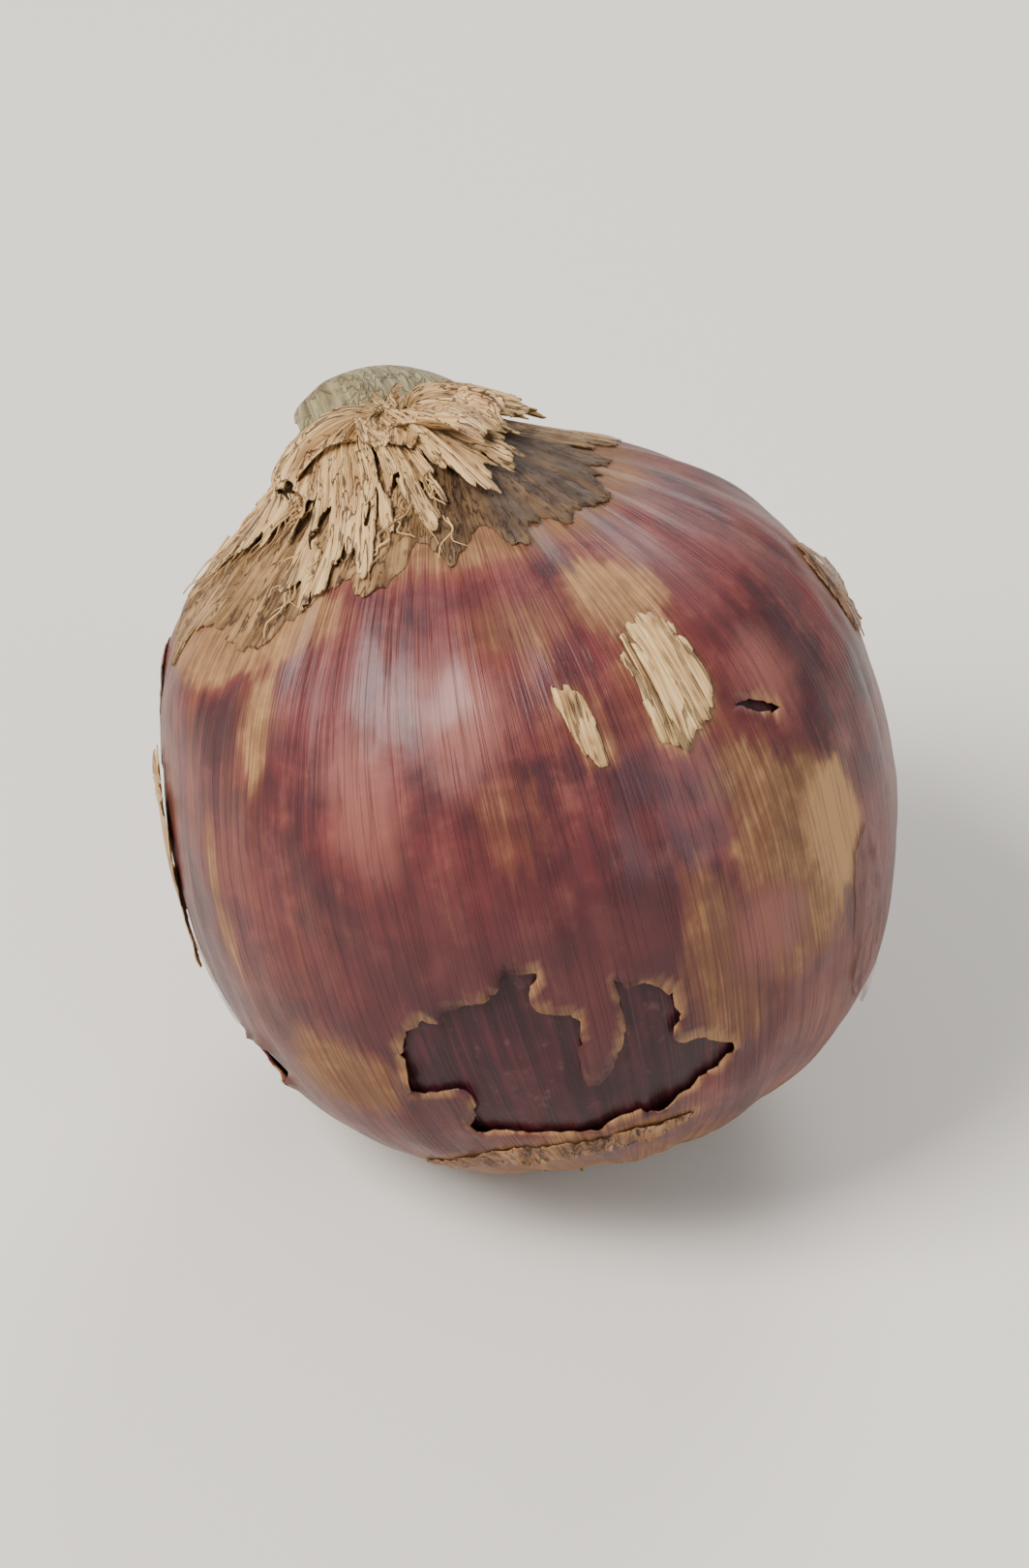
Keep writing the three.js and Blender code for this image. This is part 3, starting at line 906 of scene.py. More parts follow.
@dataclass(frozen=True)
class MauveSkinFinish:
    """Thin pearly mauve skin: cloudy, finely veined, and tan where it has dried."""

    mauve: Colour = srgb(98, 41, 40)
    deep: Colour = srgb(58, 24, 29)
    rose_and_painted_light: Colour = srgb(136, 82, 72)
    copper: Colour = srgb(112, 64, 42)
    straw: Colour = srgb(172, 130, 84)
    brown: Colour = srgb(104, 68, 42)
    vein: Colour = srgb(64, 27, 28)

    def material(self) -> bpy.types.Material:
        """Builds the material. It reads the painted values dry, bright, deep, pale and edge.

        Returns:
            The material.
        """
        net = Net("mauve_skin")
        streak = net.fibres(24, 4, 4, 0.5)
        fibre = net.fibres(110, 10, 3)
        cloud = net.clouds(150, 3, 0.5)
        blotch = net.clouds(380, 4, 0.3)
        speck = net.clouds(1500, 3)
        line = net.hairline(net.fibres(52, 3, 2, 0.3), 0.0, 0.02)
        tone = cloud * 0.5 + blotch * 0.32 + streak * 0.18
        colour = net.mix(net.between(tone, 0.36, 0.58), self.deep, self.mauve)
        flush = net.between(blotch * 0.5 + streak * 0.3 + speck * 0.2, 0.5, 0.68)
        colour = net.mix(flush * 0.4, colour, self.rose_and_painted_light)
        warm = net.between(net.clouds(95, 2), 0.5, 0.68) * net.between(streak, 0.4, 0.62)
        colour = net.mix(warm * 0.5, colour, self.copper)
        colour = net.mix(net.painted("deep") * 0.7, colour, self.deep)
        # Painted highlight, in part: the pale value mixes in the pink colour where some places
        # stand for highlights on the glossy skin and the rest are real pinkish skin.
        colour = net.mix(net.painted("pale") * 0.7, colour, self.rose_and_painted_light)
        # The bright value holds a painted shade too: dry skin is browner on the side turned from
        # the key light.
        bright = net.painted("bright") + (fibre - 0.5) * 1.1 + (blotch - 0.5) * 0.9
        bright = bright + (speck - 0.5) * 0.5
        tan = net.mix(net.between(bright, 0.05, 1.1), self.brown, self.straw)
        frayed = net.painted("dry") + (streak - 0.5) * 0.6 + (fibre - 0.5) * 0.5
        frayed = frayed + (blotch - 0.5) * 0.3
        margin = net.between(frayed, 0.1, 0.35)
        colour = net.mix(margin * 0.35, colour, self.copper)
        dry = net.between(frayed, 0.28, 0.72)
        colour = net.mix(dry * 0.9, colour, tan)
        rim = net.painted("edge") * net.between(blotch, 0.36, 0.56)
        colour = net.mix(rim * 0.6, colour, self.straw)
        colour = net.mix(line * 0.28, colour, self.vein)
        height = fibre * 0.4 + streak * 0.35 + line * 0.25 + speck * 0.15 + blotch * 0.3
        dull = speck * 0.4 + cloud * 0.4 + dry * 0.5
        return net.finish(
            Base_Color=colour,
            Roughness=net.between(dull, 0.1, 1.2) * 0.34 + 0.38,
            Normal=net.bump(height, 0.14),
            Specular_IOR_Level=0.28,
            Coat_Weight=0.12,
            Coat_Roughness=0.2,
        )


@dataclass(frozen=True)
class FleshFinish:
    """Bare, firm, deep purple flesh with a dusty bloom and pale hair-fine lines."""

    deep: Colour = srgb(38, 13, 19)
    wine: Colour = srgb(66, 25, 32)
    bloom: Colour = srgb(120, 92, 88)

    def material(self) -> bpy.types.Material:
        """Builds the material.

        Returns:
            The material.
        """
        net = Net("purple_flesh")
        streak = net.fibres(34, 4, 3, 0.3)
        cloud = net.clouds(260, 3, 0.4)
        speck = net.clouds(1700, 4)
        line = net.fibres(90, 3, 2)
        colour = net.mix(net.between(streak * 0.5 + cloud * 0.5, 0.4, 0.62), self.deep, self.wine)
        dust = net.between(speck * 0.6 + cloud * 0.4, 0.53, 0.7) * 0.3
        colour = net.mix(dust + net.between(line, 0.6, 0.75) * 0.12, colour, self.bloom)
        return net.finish(
            Base_Color=colour,
            Roughness=speck * 0.3 + 0.22,
            Normal=net.bump(line * 0.5 + cloud * 0.5 + speck * 0.2, 0.12),
            Specular_IOR_Level=0.3,
        )


@dataclass(frozen=True)
class StrawFinish:
    """Dry straw-coloured skin: smooth and papery, with fine fibres and thin dark cracks."""

    name: str = "dry_straw"
    light: Colour = srgb(212, 178, 124)
    straw: Colour = srgb(178, 138, 88)
    brown: Colour = srgb(110, 74, 42)
    crack: Colour = srgb(48, 27, 18)
    rose_and_painted_light: Colour = srgb(138, 82, 66)
    cracks: float = 0.85
    crack_stretch: float = 40.0
    clearest: float = 1.0
    densest: float = 1.0
    relief: float = 0.2

    def material(self) -> bpy.types.Material:
        """Builds the material. It reads edge, and rosy: a pink tint on scraps, and a painted shade
        on the skirt.

        Returns:
            The material.
        """
        net = Net(self.name)
        fibre = net.fibres(60, 10, 3, 0.4)
        band = net.fibres(14, 12, 3, 0.5)
        thread = net.fibres(150, 20, 2)
        dust = net.clouds(700, 4)
        split = net.hairline(net.fibres(30, self.crack_stretch, 2, 0.6), 0.012, 0.04)
        crack = split * net.between(net.fibres(10, 20, 2), 0.36, 0.5)
        tone = band * 0.5 + fibre * 0.3 + dust * 0.2
        colour = net.mix(net.between(tone, 0.36, 0.54), self.brown, self.straw)
        colour = net.mix(net.between(tone * 0.6 + thread * 0.4, 0.46, 0.6), colour, self.light)
        # The rosy value mixes in this finish's pink colour: a real pink tint on scraps, and on the
        # neck's skirt a painted shade in dark brown.
        colour = net.mix(net.painted("rosy_and_shade") * net.between(band, 0.25, 0.55), colour, self.rose_and_painted_light)
        colour = net.mix(net.painted("edge") * 0.3, colour, self.light)
        colour = net.mix(net.between(dust, 0.54, 0.76) * 0.35, colour, self.brown)
        colour = net.mix(crack * self.cracks, colour, self.crack)
        height = fibre * 0.3 + thread * 0.15 + band * 0.5 - crack * 0.8
        solid = net.between(band * 0.5 + dust * 0.5, 0.4, 0.62)
        clear: float | Wire = 1.0
        if self.clearest < 1:
            clear = solid * (self.densest - self.clearest) + self.clearest
        return net.finish(
            Base_Color=colour,
            Roughness=dust * 0.3 + 0.42,
            Normal=net.bump(height, self.relief),
            Specular_IOR_Level=0.35,
            Alpha=clear,
        )


@dataclass(frozen=True)
class RootFinish:
    """Dry wiry roots, golden to grey-brown."""

    gold: Colour = srgb(196, 160, 108)
    brown: Colour = srgb(120, 88, 56)

    def material(self) -> bpy.types.Material:
        """Builds the material. It reads the painted value tone.

        Returns:
            The material.
        """
        net = Net("dry_root")
        dust = net.clouds(1200, 3)
        share = net.between(net.painted("tone") + (dust - 0.5) * 0.8, 0.1, 0.9)
        return net.finish(
            Base_Color=net.mix(share, self.brown, self.gold),
            Roughness=0.78,
            Normal=net.bump(dust, 0.12),
            Specular_IOR_Level=0.3,
        )


@dataclass(frozen=True)
class PaleFloorFinish:
    """A plain pale floor."""

    pale: Colour = srgb(214, 208, 200)

    def material(self) -> bpy.types.Material:
        """Builds the material."""
        return Net("pale_floor").finish(Base_Color=self.pale, Roughness=0.85)


class Node(Enum):
    """The CAD nodes, with the record's finish of each."""

    BULB = ("bulb", "mauve_skin")
    NECK = ("dry_neck", "dry_straw")
    ROOTS = ("root_tuft", "dry_root")


def settle(piece: bpy.types.Object, node: Node) -> bpy.types.Object:
    """Makes a piece ride on the part and stand for its CAD node.

    Args:
        piece: The piece.
        node: The CAD node that it stands for.

    Returns:
        The piece.
    """
    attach(piece, BODY)
    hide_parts(node.value[0])
    log.info("%s: %d faces", piece.name, len(piece.data.polygons))
    return piece


def grain_places(azimuth: Array, share: Array) -> Array:
    """Pattern places: turns round the axis, and share of the way from root to neck."""
    return np.stack([azimuth / TURN % 1, share], axis=-1)


def layered(
    azimuth: Array,
    share: Array,
    quads: Array,
    lift: Array,
    thickness: float,
    paint: dict[str, Array],
) -> Surface:
    """A thin closed layer over the bulb.

    Args:
        azimuth: Azimuths of its points.
        share: Shares of the outline at its points.
        quads: Its faces.
        lift: How far its outer face lies outside the bulb's form.
        thickness: Its thickness.
        paint: Painted values at its points.

    Returns:
        The layer.
    """
    outer = FORM.layer(azimuth, share, lift)
    inner = FORM.layer(azimuth, share, lift - thickness)
    return Surface(outer, quads, grain_places(azimuth, share), paint).shell(inner)


@dataclass
class Skin:
    """The purple flesh and the thin mauve skin over it, with its tears.

    Each dry place is an oval with how dry and how bright it is. Bridges are tongues of skin left
    across the largest tear.
    """

    thickness: float = 0.12
    flesh_lift: float = -0.42
    flesh_columns: int = 160
    columns: int = 290
    rows: int = 146
    curls: Ripple = Ripple(11, 0.5, 14, 2, 1.0, 0.1)
    edge_lift: float = 0.04
    edge_curl: float = 0.75
    curl_reach: float = 0.6
    sag: float = 0.1
    sag_reach: float = 2.5
    tears: tuple[Oval, ...] = (
        Oval(-93, -6.4, 8.6, 4.4, 4, 0.26, 11, 0.5),
        Oval(-84, -10.6, 7.6, 2.6, 6, 0.26, 12, 0.4),
        Oval(-40.5, 8.3, 1.7, 0.3, -28, 0.2, 47, 0.1),
        Oval(-156, -8.4, 2.6, 1.8, 0, 0.35, 5, 0.3),
        Oval(28, -6.0, 3.4, 6.0, 12, 0.3, 8),
        Oval(150, 5.0, 1.7, 6.0, -6, 0.3, 21),
    )
    bridges: tuple[Oval, ...] = (
        Oval(-84.5, -3.0, 2.6, 1.8, 8, 0.3, 3, 0.2),
        Oval(-82.0, -6.2, 1.2, 3.8, -16, 0.35, 6, 0.2),
        Oval(-113, -9.8, 2.0, 1.3, 20, 0.35, 16, 0.3),
    )
    dry_places: tuple[tuple[Oval, float, float], ...] = (
        (Oval(-42, -0.6, 4.6, 6.6, -8, 0.4, 7, 0.8), 0.75, 0.3),
        (Oval(-31.5, -0.6, 2.3, 3.8, -6, 0.3, 8, 0.5), 1.0, 1.25),
        (Oval(-157, 16.2, 8.0, 3.2, 8, 0.4, 17, 1.0), 0.95, 0.5),
        (Oval(-134, 13.2, 1.2, 4.0, 2, 0.5, 19, 1.4), 0.7, 0.45),
        (Oval(-145, 3.4, 1.0, 5.0, 2, 0.5, 20, 1.4), 0.6, 0.4),
        (Oval(-172, 3.4, 1.8, 4.8, 2, 0.5, 22, 1.0), 0.8, 0.5),
        (Oval(-86, 7.2, 2.0, 2.8, 6, 0.8, 23, 0.8), 0.3, 0.3),
        (Oval(-54, 15.8, 2.8, 2.4, 10, 0.5, 27, 1.0), 0.85, 0.6),
        (Oval(-54.5, 11.4, 2.4, 3.6, -10, 0.5, 2, 1.2), 0.8, 0.6),
        (Oval(-71, 10.7, 1.2, 2.6, 14, 0.5, 4, 0.8), 0.7, 0.6),
        (Oval(-49.5, 5.4, 0.5, 2.6, -34, 0.4, 44, 0.3), 0.8, 0.7),
        (Oval(-77, 15.8, 3.0, 2.2, 0, 0.5, 25, 0.8), 0.5, 0.15),
        (Oval(-60, -4.6, 2.4, 6.0, 0, 0.5, 28, 1.2), 0.55, 0.15),
        (Oval(-48, 5.0, 2.8, 2.4, 20, 0.5, 24, 0.8), 0.65, 0.35),
        (Oval(-129, -7.6, 3.4, 2.6, 0, 0.5, 30, 0.8), 0.7, 0.2),
        (Oval(-98, -14.6, 9.6, 1.5, 6, 0.4, 29, 0.4), 0.85, 0.3),
        (Oval(62, 3.0, 4.8, 7.0, 10, 0.5, 12, 1.2), 0.9, 0.5),
        (Oval(118, -7.0, 5.4, 3.4, -20, 0.5, 15, 0.8), 0.8, 0.4),
        (Oval(5, 9.0, 2.6, 4.2, 6, 0.5, 18, 1.0), 0.8, 0.5),
        (Oval(100, 12.6, 5.0, 4.4, 0, 0.5, 38, 1.6), 0.7, 0.4),
    )
    # Pale pinkish places: partly painted highlights on the glossy skin, partly real pinkish skin.
    pale_and_highlight_places: tuple[Oval, ...] = (
        Oval(-92, 12.2, 2.3, 3.2, 0, 0.5, 35),
        Oval(-35, 9.8, 2.0, 1.8, 0, 0.5, 36),
        Oval(-112, 9.0, 2.0, 3.6, 0, 0.5, 37),
        Oval(-49, -3.6, 3.0, 3.0, 0, 0.4, 39),
    )
    dry_neck_heights: tuple[float, float] = (17.2, 19.0)
    dry_root_heights: tuple[float, float] = (-14.5, -18.0)
    deep_front: Oval = Oval(-90, -4.4, 15, 9.6, 0, 0.3, 33)
    deep_left: Oval = Oval(-140, -3.0, 8.0, 7.0, 0, 0.3, 34)

    def kept(self, azimuth: Array, share: Array) -> Array:
        """Distance from the nearest tear, with tongues of skin left in the largest.

        Args:
            azimuth: Angles round the axis, in radians.
            share: Shares of the outline's length, from the root end.

        Returns:
            One distance for each place, below zero inside a tear.
        """
        outside = np.min([tear.distance(azimuth, share) for tear in self.tears], axis=0)
        tongue = np.max([-bridge.distance(azimuth, share) for bridge in self.bridges], axis=0)
        return np.maximum(outside, tongue)

    def build_flesh(self) -> Surface:
        """The flesh: the bulb's round form, a little way in.

        Returns:
            The closed surface.
        """
        patch = Patch((0, 360), (0.004, 0.996), self.flesh_columns, 90)
        azimuth, share, quads = patch.torn(lambda azimuth, share: np.ones_like(azimuth))
        points = FORM.layer(azimuth, share, self.flesh_lift)
        rings = np.arange(len(points)).reshape(-1, self.flesh_columns)
        quads = np.concatenate([quads, lids(rings[:1], rings[-1:])])
        return Surface(points, quads, grain_places(azimuth, share))

    def build_skin(self) -> Surface:
        """The skin, whose edges curl up here and there along the tears.

        Returns:
            The closed surface.
        """
        patch = Patch((0, 360), (0.01, 0.985), self.columns, self.rows)
        azimuth, share, quads = patch.torn(self.kept)
        gap = np.maximum(self.kept(azimuth, share), 0)
        height = FORM.outline_at(share)[0][:, 1]
        curl = self.edge_lift + self.edge_curl * self.curls.mounds(azimuth, height) ** 1.4
        lift = curl * np.exp(-gap / self.curl_reach) - self.sag * np.exp(-gap / self.sag_reach)
        paint = self.stains(azimuth, share, gap)
        return layered(azimuth, share, quads, lift, self.thickness, paint)

    def stains(self, azimuth: Array, share: Array, gap: Array) -> dict[str, Array]:
        """Where the skin is dry and how bright there, and where deep, pale, or a torn edge.

        Args:
            azimuth: Angles round the axis, in radians.
            share: Shares of the outline's length, from the root end.
            gap: Distances from the nearest tear.

        Returns:
            Painted values, by name.
        """
        height = FORM.outline_at(share)[0][:, 1]
        foot = smooth(height, *self.dry_neck_heights)
        dry = np.maximum(0.85 * foot, 0.8 * smooth(height, *self.dry_root_heights))
        # Painted shade: dry skin is browner within about 35 degrees of azimuth -20, the side
        # turned from the key light, and brighter straw beyond about 100 degrees.
        bright = 0.22 + 0.2 * smooth(np.abs(away(azimuth, -20)), 0.6, 1.8)
        for place, weight, light in self.dry_places:
            cover = place.cover(azimuth, share, 1.7)
            dry = np.maximum(dry, weight * cover)
            bright = blend(bright, light, cover)
        around_tear = self.deep_front.cover(azimuth, share, 5.0)
        left = self.deep_left.cover(azimuth, share, 4.0)
        # Painted highlight, in part: some pale places stand for highlights on the glossy skin, the
        # rest are real pinkish skin.
        pale = np.max([place.cover(azimuth, share, 1.5) for place in self.pale_and_highlight_places], axis=0)
        return {
            "dry": dry * (1 - 0.6 * pale),
            "bright": bright,
            "deep": np.maximum(around_tear, 0.4 * left),
            "pale": pale,
            "edge": np.exp(-gap / 0.13),
        }

    def build(self) -> None:
        """Builds and settles both layers."""
        settle(self.build_flesh().to_object("flesh", FleshFinish().material()), Node.BULB)
        settle(self.build_skin().to_object("mauve_skin", MauveSkinFinish().material()), Node.BULB)


@dataclass(frozen=True)
class Scale:
    """A scrap of dry outer skin: where it lies, how it stands off and curls, and its slits."""

    oval: Oval
    lift: float = 0.14
    curl: float = 0.4
    slits: float = 0.0
    rosy_and_shade: float = 0.0


@dataclass
class DryScales:
    """What is left of the dry outer skin: patches, bright flakes, loose strips and film."""

    thickness: float = 0.05
    cell: float = 0.13
    slit_reach: float = 2.4
    slit_slope: float = 5
    curl_reach: float = 0.7
    flakes: tuple[Scale, ...] = (
        Scale(Oval(-54.5, 11.6, 2.2, 3.5, -10, 0.4, 2, 0.7), 0.05, 0.25, 0.035),
        Scale(Oval(-71.5, 10.8, 0.9, 2.6, 14, 0.4, 4, 0.8), 0.05, 0.3, 0.03),
        Scale(Oval(-40.5, 8.8, 1.8, 0.22, -28, 0.2, 48, 0.1), 0.04, 0.3, 0.0, 0.8),
        Scale(Oval(-171, 2.6, 2.2, 6.0, 2, 0.5, 31, 1.6), 0.28, 0.5, 0.06),
        Scale(Oval(102, 5.0, 1.8, 6.0, -4, 0.5, 33, 1.6), 0.12, 0.5, 0.16),
    )
    patches: tuple[Scale, ...] = (
        Scale(Oval(-98, -14.7, 8.4, 1.2, 6, 0.4, 9, 0.3), 0.1, 0.4, 0.0, 0.2),
        Scale(Oval(62, 3.0, 4.4, 6.8, 10, 0.4, 12, 0.9), 0.12, 0.5, 0.0, 0.4),
        Scale(Oval(118, -7.0, 5.0, 3.0, -20, 0.4, 15, 0.6), 0.12, 0.5, 0.06, 0.3),
        Scale(Oval(5, 9.0, 2.2, 3.8, 6, 0.45, 18, 0.8), 0.14, 0.6, 0.1, 0.2),
        Scale(Oval(179, 10.5, 1.8, 4.0, 4, 0.45, 46, 0.7), 0.14, 0.5, 0.0, 0.7),
    )
    films: tuple[Scale, ...] = (
        Scale(Oval(-23, -7.6, 2.3, 5.8, 6, 0.2, 41, 0.3), 0.12, 0.4, 0.0, 0.5),
        Scale(Oval(-168, -4.4, 1.8, 3.4, 0, 0.25, 42, 0.3), 0.14, 0.3, 0.0, 0.5),
    )

    def build_scale(self, scale: Scale) -> Surface:
        """One scrap: a ragged oval, split by slits along the grain and curled at its edge.

        Args:
            scale: The scrap's sizes.

        Returns:
            The closed surface.
        """
        oval = scale.oval
        middle = FORM.share_at(oval.height)
        radius = float(FORM.outline_at(np.array([middle]))[0][0, 0])
        slant = abs(math.sin(math.radians(oval.turn)))
        across = 1.7 * max(oval.half_width, oval.half_height * slant)
        tall = 1.6 * max(oval.half_height + oval.fray, oval.half_width * slant) / FORM.length
        wide = math.degrees(across / radius)
        patch = Patch(
            (oval.azimuth - wide, oval.azimuth + wide),
            (max(0.03, middle - tall), min(0.97, middle + tall)),
            max(12, int(2 * across / self.cell)),
            max(12, int(2 * tall * FORM.length / self.cell / 1.5)),
        )

        def keep(azimuth: Array, share: Array) -> Array:
            """Inside the oval, and off the slits.

            Args:
                azimuth: Angles round the axis, in radians.
                share: Shares of the outline's length, from the root end.

            Returns:
                One value for each place, above zero where the sheet is.
            """
            inside = -oval.distance(azimuth, share)
            if not scale.slits:
                return inside
            lines = np.abs(Ripple(40, 0.12, oval.seed + 50, 2).at(azimuth, share * RUN))
            open_lines = scale.slits * smooth(inside, self.slit_reach, 0.0)
            return np.minimum(inside, (lines - open_lines) * self.slit_slope)

        azimuth, share, quads = patch.torn(keep)
        inside = np.maximum(-oval.distance(azimuth, share), 0)
        curl = Ripple(14, 0.5, oval.seed + 60, 2, 1.0, 0.1).mounds(azimuth, share * RUN)
        crinkle = Ripple(26, 0.12, oval.seed + 70, 2, 0.07).at(azimuth, share * RUN)
        lift = scale.lift + crinkle + scale.curl * curl * np.exp(-inside / self.curl_reach)
        paint = {
            "edge": np.exp(-inside / 0.25),
            "rosy_and_shade": np.full(len(azimuth), scale.rosy_and_shade),
        }
        return layered(azimuth, share, quads, lift, self.thickness, paint)

    def build(self) -> None:
        """Builds and settles each kind of scrap."""
        tan = StrawFinish(
            "tan_scale", srgb(168, 130, 86), srgb(136, 96, 62), srgb(92, 60, 38), clearest=0.6
        )
        clear = StrawFinish(
            "clear_film",
            srgb(166, 128, 118),
            srgb(138, 98, 90),
            srgb(108, 70, 66),
            rose_and_painted_light=srgb(126, 84, 78),
            cracks=0.0,
            clearest=0.12,
            densest=0.38,
            relief=0.05,
        )
        pale = StrawFinish("pale_flake", cracks=0.65, crack_stretch=12.0)
        kinds = (
            ("dry_flakes", self.flakes, pale),
            ("dry_scales", self.patches, tan),
            ("loose_film", self.films, clear),
        )
        for name, scales, finish in kinds:
            whole = Surface.joined([self.build_scale(scale) for scale in scales])
            settle(whole.to_object(name, finish.material()), Node.BULB)


@dataclass(frozen=True)
class Tongue:
    """A tongue of a hem: its azimuth, how far out it reaches, and half its width in degrees."""

    azimuth: float
    reach: float
    width: float


@dataclass(frozen=True)
class Tip:
    """A torn tip of the neck, which grows up and bends outward.

    Sizes are the azimuth, length and width, how far it leans out at its root and its end, the
    depth of its pleats, how far its root sits below the others, how crumpled it is, and how far
    its sides bend in, as a share of half its width.
    """

    azimuth: float
    length: float
    width: float
    lean_root: float
    lean_end: float
    pleats: float = 0.3
    sunk: float = 0.0
    crumple: float = 0.4
    cup: float = 0.28


@dataclass
class Neck:
    """The collapsed neck: a thin tan skirt, a straw sheath, its inner layers and torn tips."""

    thickness: float = 0.1
    sheath: tuple[tuple[float, float], ...] = (
        (17.9, 12.4),
        (15.4, 15.3),
        (12.3, 17.6),
        (9.2, 19.15),
        (6.9, 20.05),
        (5.5, 20.5),
        (4.4, 20.9),
        (3.4, 21.2),
        (2.5, 21.3),
        (1.5, 21.2),
        (0.7, 20.9),
    )
    skirt_ring: float = 8.2
    skirt_tongues: tuple[Tongue, ...] = (
        Tongue(-168, 15.4, 28),
        Tongue(-146, 14.2, 26),
        Tongue(-124, 11.8, 24),
        Tongue(-98, 10.0, 20),
        Tongue(-62, 9.0, 22),
        Tongue(-34, 9.4, 24),
        Tongue(50, 11.2, 32),
        Tongue(118, 13.4, 36),
    )
    skirt_threads: Ripple = Ripple(20, 0.08, 101, 3, 0.9)
    skirt_waves: Ripple = Ripple(6, 0.1, 102, 2, 1.6)
    skirt_crinkle: Ripple = Ripple(14, 0.14, 103, 3, 0.05)
    skirt_mounds: Ripple = Ripple(8, 0.3, 104, 2, 1.0, 0.2)
    skirt_lift: float = 0.12
    sheath_ring: float = 5.0
    sheath_tongues: tuple[Tongue, ...] = (
        Tongue(-174, 12.6, 21),
        Tongue(-153, 9.8, 10),
        Tongue(-134, 12.4, 15),
        Tongue(-114, 10.4, 12),
        Tongue(-90, 8.0, 16),
        Tongue(-60, 7.2, 18),
        Tongue(-36, 6.8, 20),
        Tongue(56, 7.8, 34),
        Tongue(120, 10.0, 38),
    )
    sheath_crinkle: Ripple = Ripple(9, 0.2, 61)
    sheath_folds: Ripple = Ripple(24, 0.1, 62, 2)
    sheath_threads: Ripple = Ripple(17, 0.3, 63, 3, 1.5)
    sheath_waves: Ripple = Ripple(6, 0.2, 64, 2, 1.6)
    sheath_mounds: Ripple = Ripple(9, 0.2, 66, 2, 1.0, 0.25)
    slits: Slits = Slits(150, (-210, 150), (5.0, 13.5), (0.07, 0.16), (0.5, 1.6), 71)
    gaps: Slits = Slits(14, (-158, 150), (7.5, 13.0), (0.3, 0.6), (0.6, 1.4), 76)
    tips: tuple[Tip, ...] = (
        Tip(-36, 5.4, 5.6, 45, 130, 0.3),
        Tip(112, 6.4, 10.8, 42, 116, 0.06, -0.3, 0.16, -0.2),
        Tip(50, 2.6, 4.6, 50, 100, 0.3, 0.3),
        Tip(-160, 3.8, 4.6, 70, 130, 0.12, 0.6, 0.25, 0.4),
        Tip(-92, 3.2, 4.4, 60, 118, 0.25, 0.1),
        Tip(16, 2.6, 4.2, 55, 110, 0.3, 0.3),
    )
    skirt_cells: tuple[int, int] = (400, 70)
    sheath_cells: tuple[int, int] = (560, 84)
    sheath_lift: float = 0.1
    hem_lift: float = 0.5
    loose_heights: tuple[float, float] = (18.5, 21.2)
    oval_heights: tuple[float, float] = (19.8, 21.2)
    pleat_depth: float = 0.34
    least_radius: float = 0.05
    flat_radius: float = 2.5
    tip_ring: float = 2.3
    tip_height: float = 20.9
    tip_bend: float = 2.38
    tip_columns: int = 46
    tip_rows: int = 40
    oval: float = 0.36
    oval_towards: float = 7
    bend: float = 3.4
    bend_start: float = 17
    bend_height: float = 4.3
    bend_towards: float = 178
    slope: float = 0.42
    fibres: int = 46
    fibre_seed: int = 91
    fibre_azimuths: tuple[float, float] = (-200, -88)
    fibre_starts: tuple[float, float] = (0.4, 3.0)
    fibre_lengths: tuple[float, float] = (1.0, 3.2)
    fibre_radii: tuple[float, float] = (0.04, 0.09)
    fibre_lift: float = 0.45

    def reach(self, azimuth: Array, ring: float, tongues: Sequence[Tongue]) -> Array:
        """How far out a hem reaches: a ring with blunt tongues.

        Args:
            azimuth: Angles round the axis, in radians.
            ring: The ring's radius.
            tongues: The hem's tongues.

        Returns:
            The reach at each azimuth.
        """
        far = np.full(azimuth.shape, ring)
        for tongue in tongues:
            off = np.abs(away(azimuth, tongue.azimuth)) / math.radians(tongue.width)
            far = np.maximum(far, blend(ring, tongue.reach, np.clip(1 - off, 0, 1) ** 0.45))
        return far

    def build_skirt(self) -> Surface:
        """The thin skirt over the shoulder, close to the mauve skin, with a frayed hem.

        Returns:
            The closed surface.
        """

        def keep(azimuth: Array, share: Array) -> Array:
            """Inside the hem, whose threads end at different lengths.

            Args:
                azimuth: Angles round the axis, in radians.
                share: Shares of the outline's length, from the root end.

            Returns:
                One value for each place, above zero where the sheet is.
            """
            radius = FORM.outline_at(share)[0][..., 0]
            far = self.reach(azimuth, self.skirt_ring, self.skirt_tongues)
            far = far + self.skirt_threads.at(azimuth, radius)
            return far + self.skirt_waves.at(azimuth, radius) - radius

        shares = (FORM.share_at(9.0), 0.97)
        azimuth, share, quads = Patch((0, 360), shares, *self.skirt_cells).torn(keep)
        inside = np.clip(keep(azimuth, share), 0, None)
        hem = self.skirt_mounds.mounds(azimuth, share * RUN) * np.exp(-inside / 0.6)
        lift = self.skirt_lift + self.skirt_crinkle.at(azimuth, share * RUN) + 0.25 * hem
        # Painted shade: on the side towards azimuth -40 the skirt is mixed towards the dark brown
        # of its finish, which stands in for the shade there.
        shaded = smooth(np.abs(away(azimuth, -40)), 1.2, 0.7)
        paint = {"edge": 0.4 * np.exp(-inside / 0.2), "rosy_and_shade": shaded}
        return layered(azimuth, share, quads, lift, self.thickness, paint)

    def drawn(self, azimuth: Array | float, oval: Array | float) -> Array:
        """How an oval ring differs from a round one: one plus a share of the doubled cosine."""
        return 1 + oval * np.cos(2 * (azimuth - math.radians(self.oval_towards)))

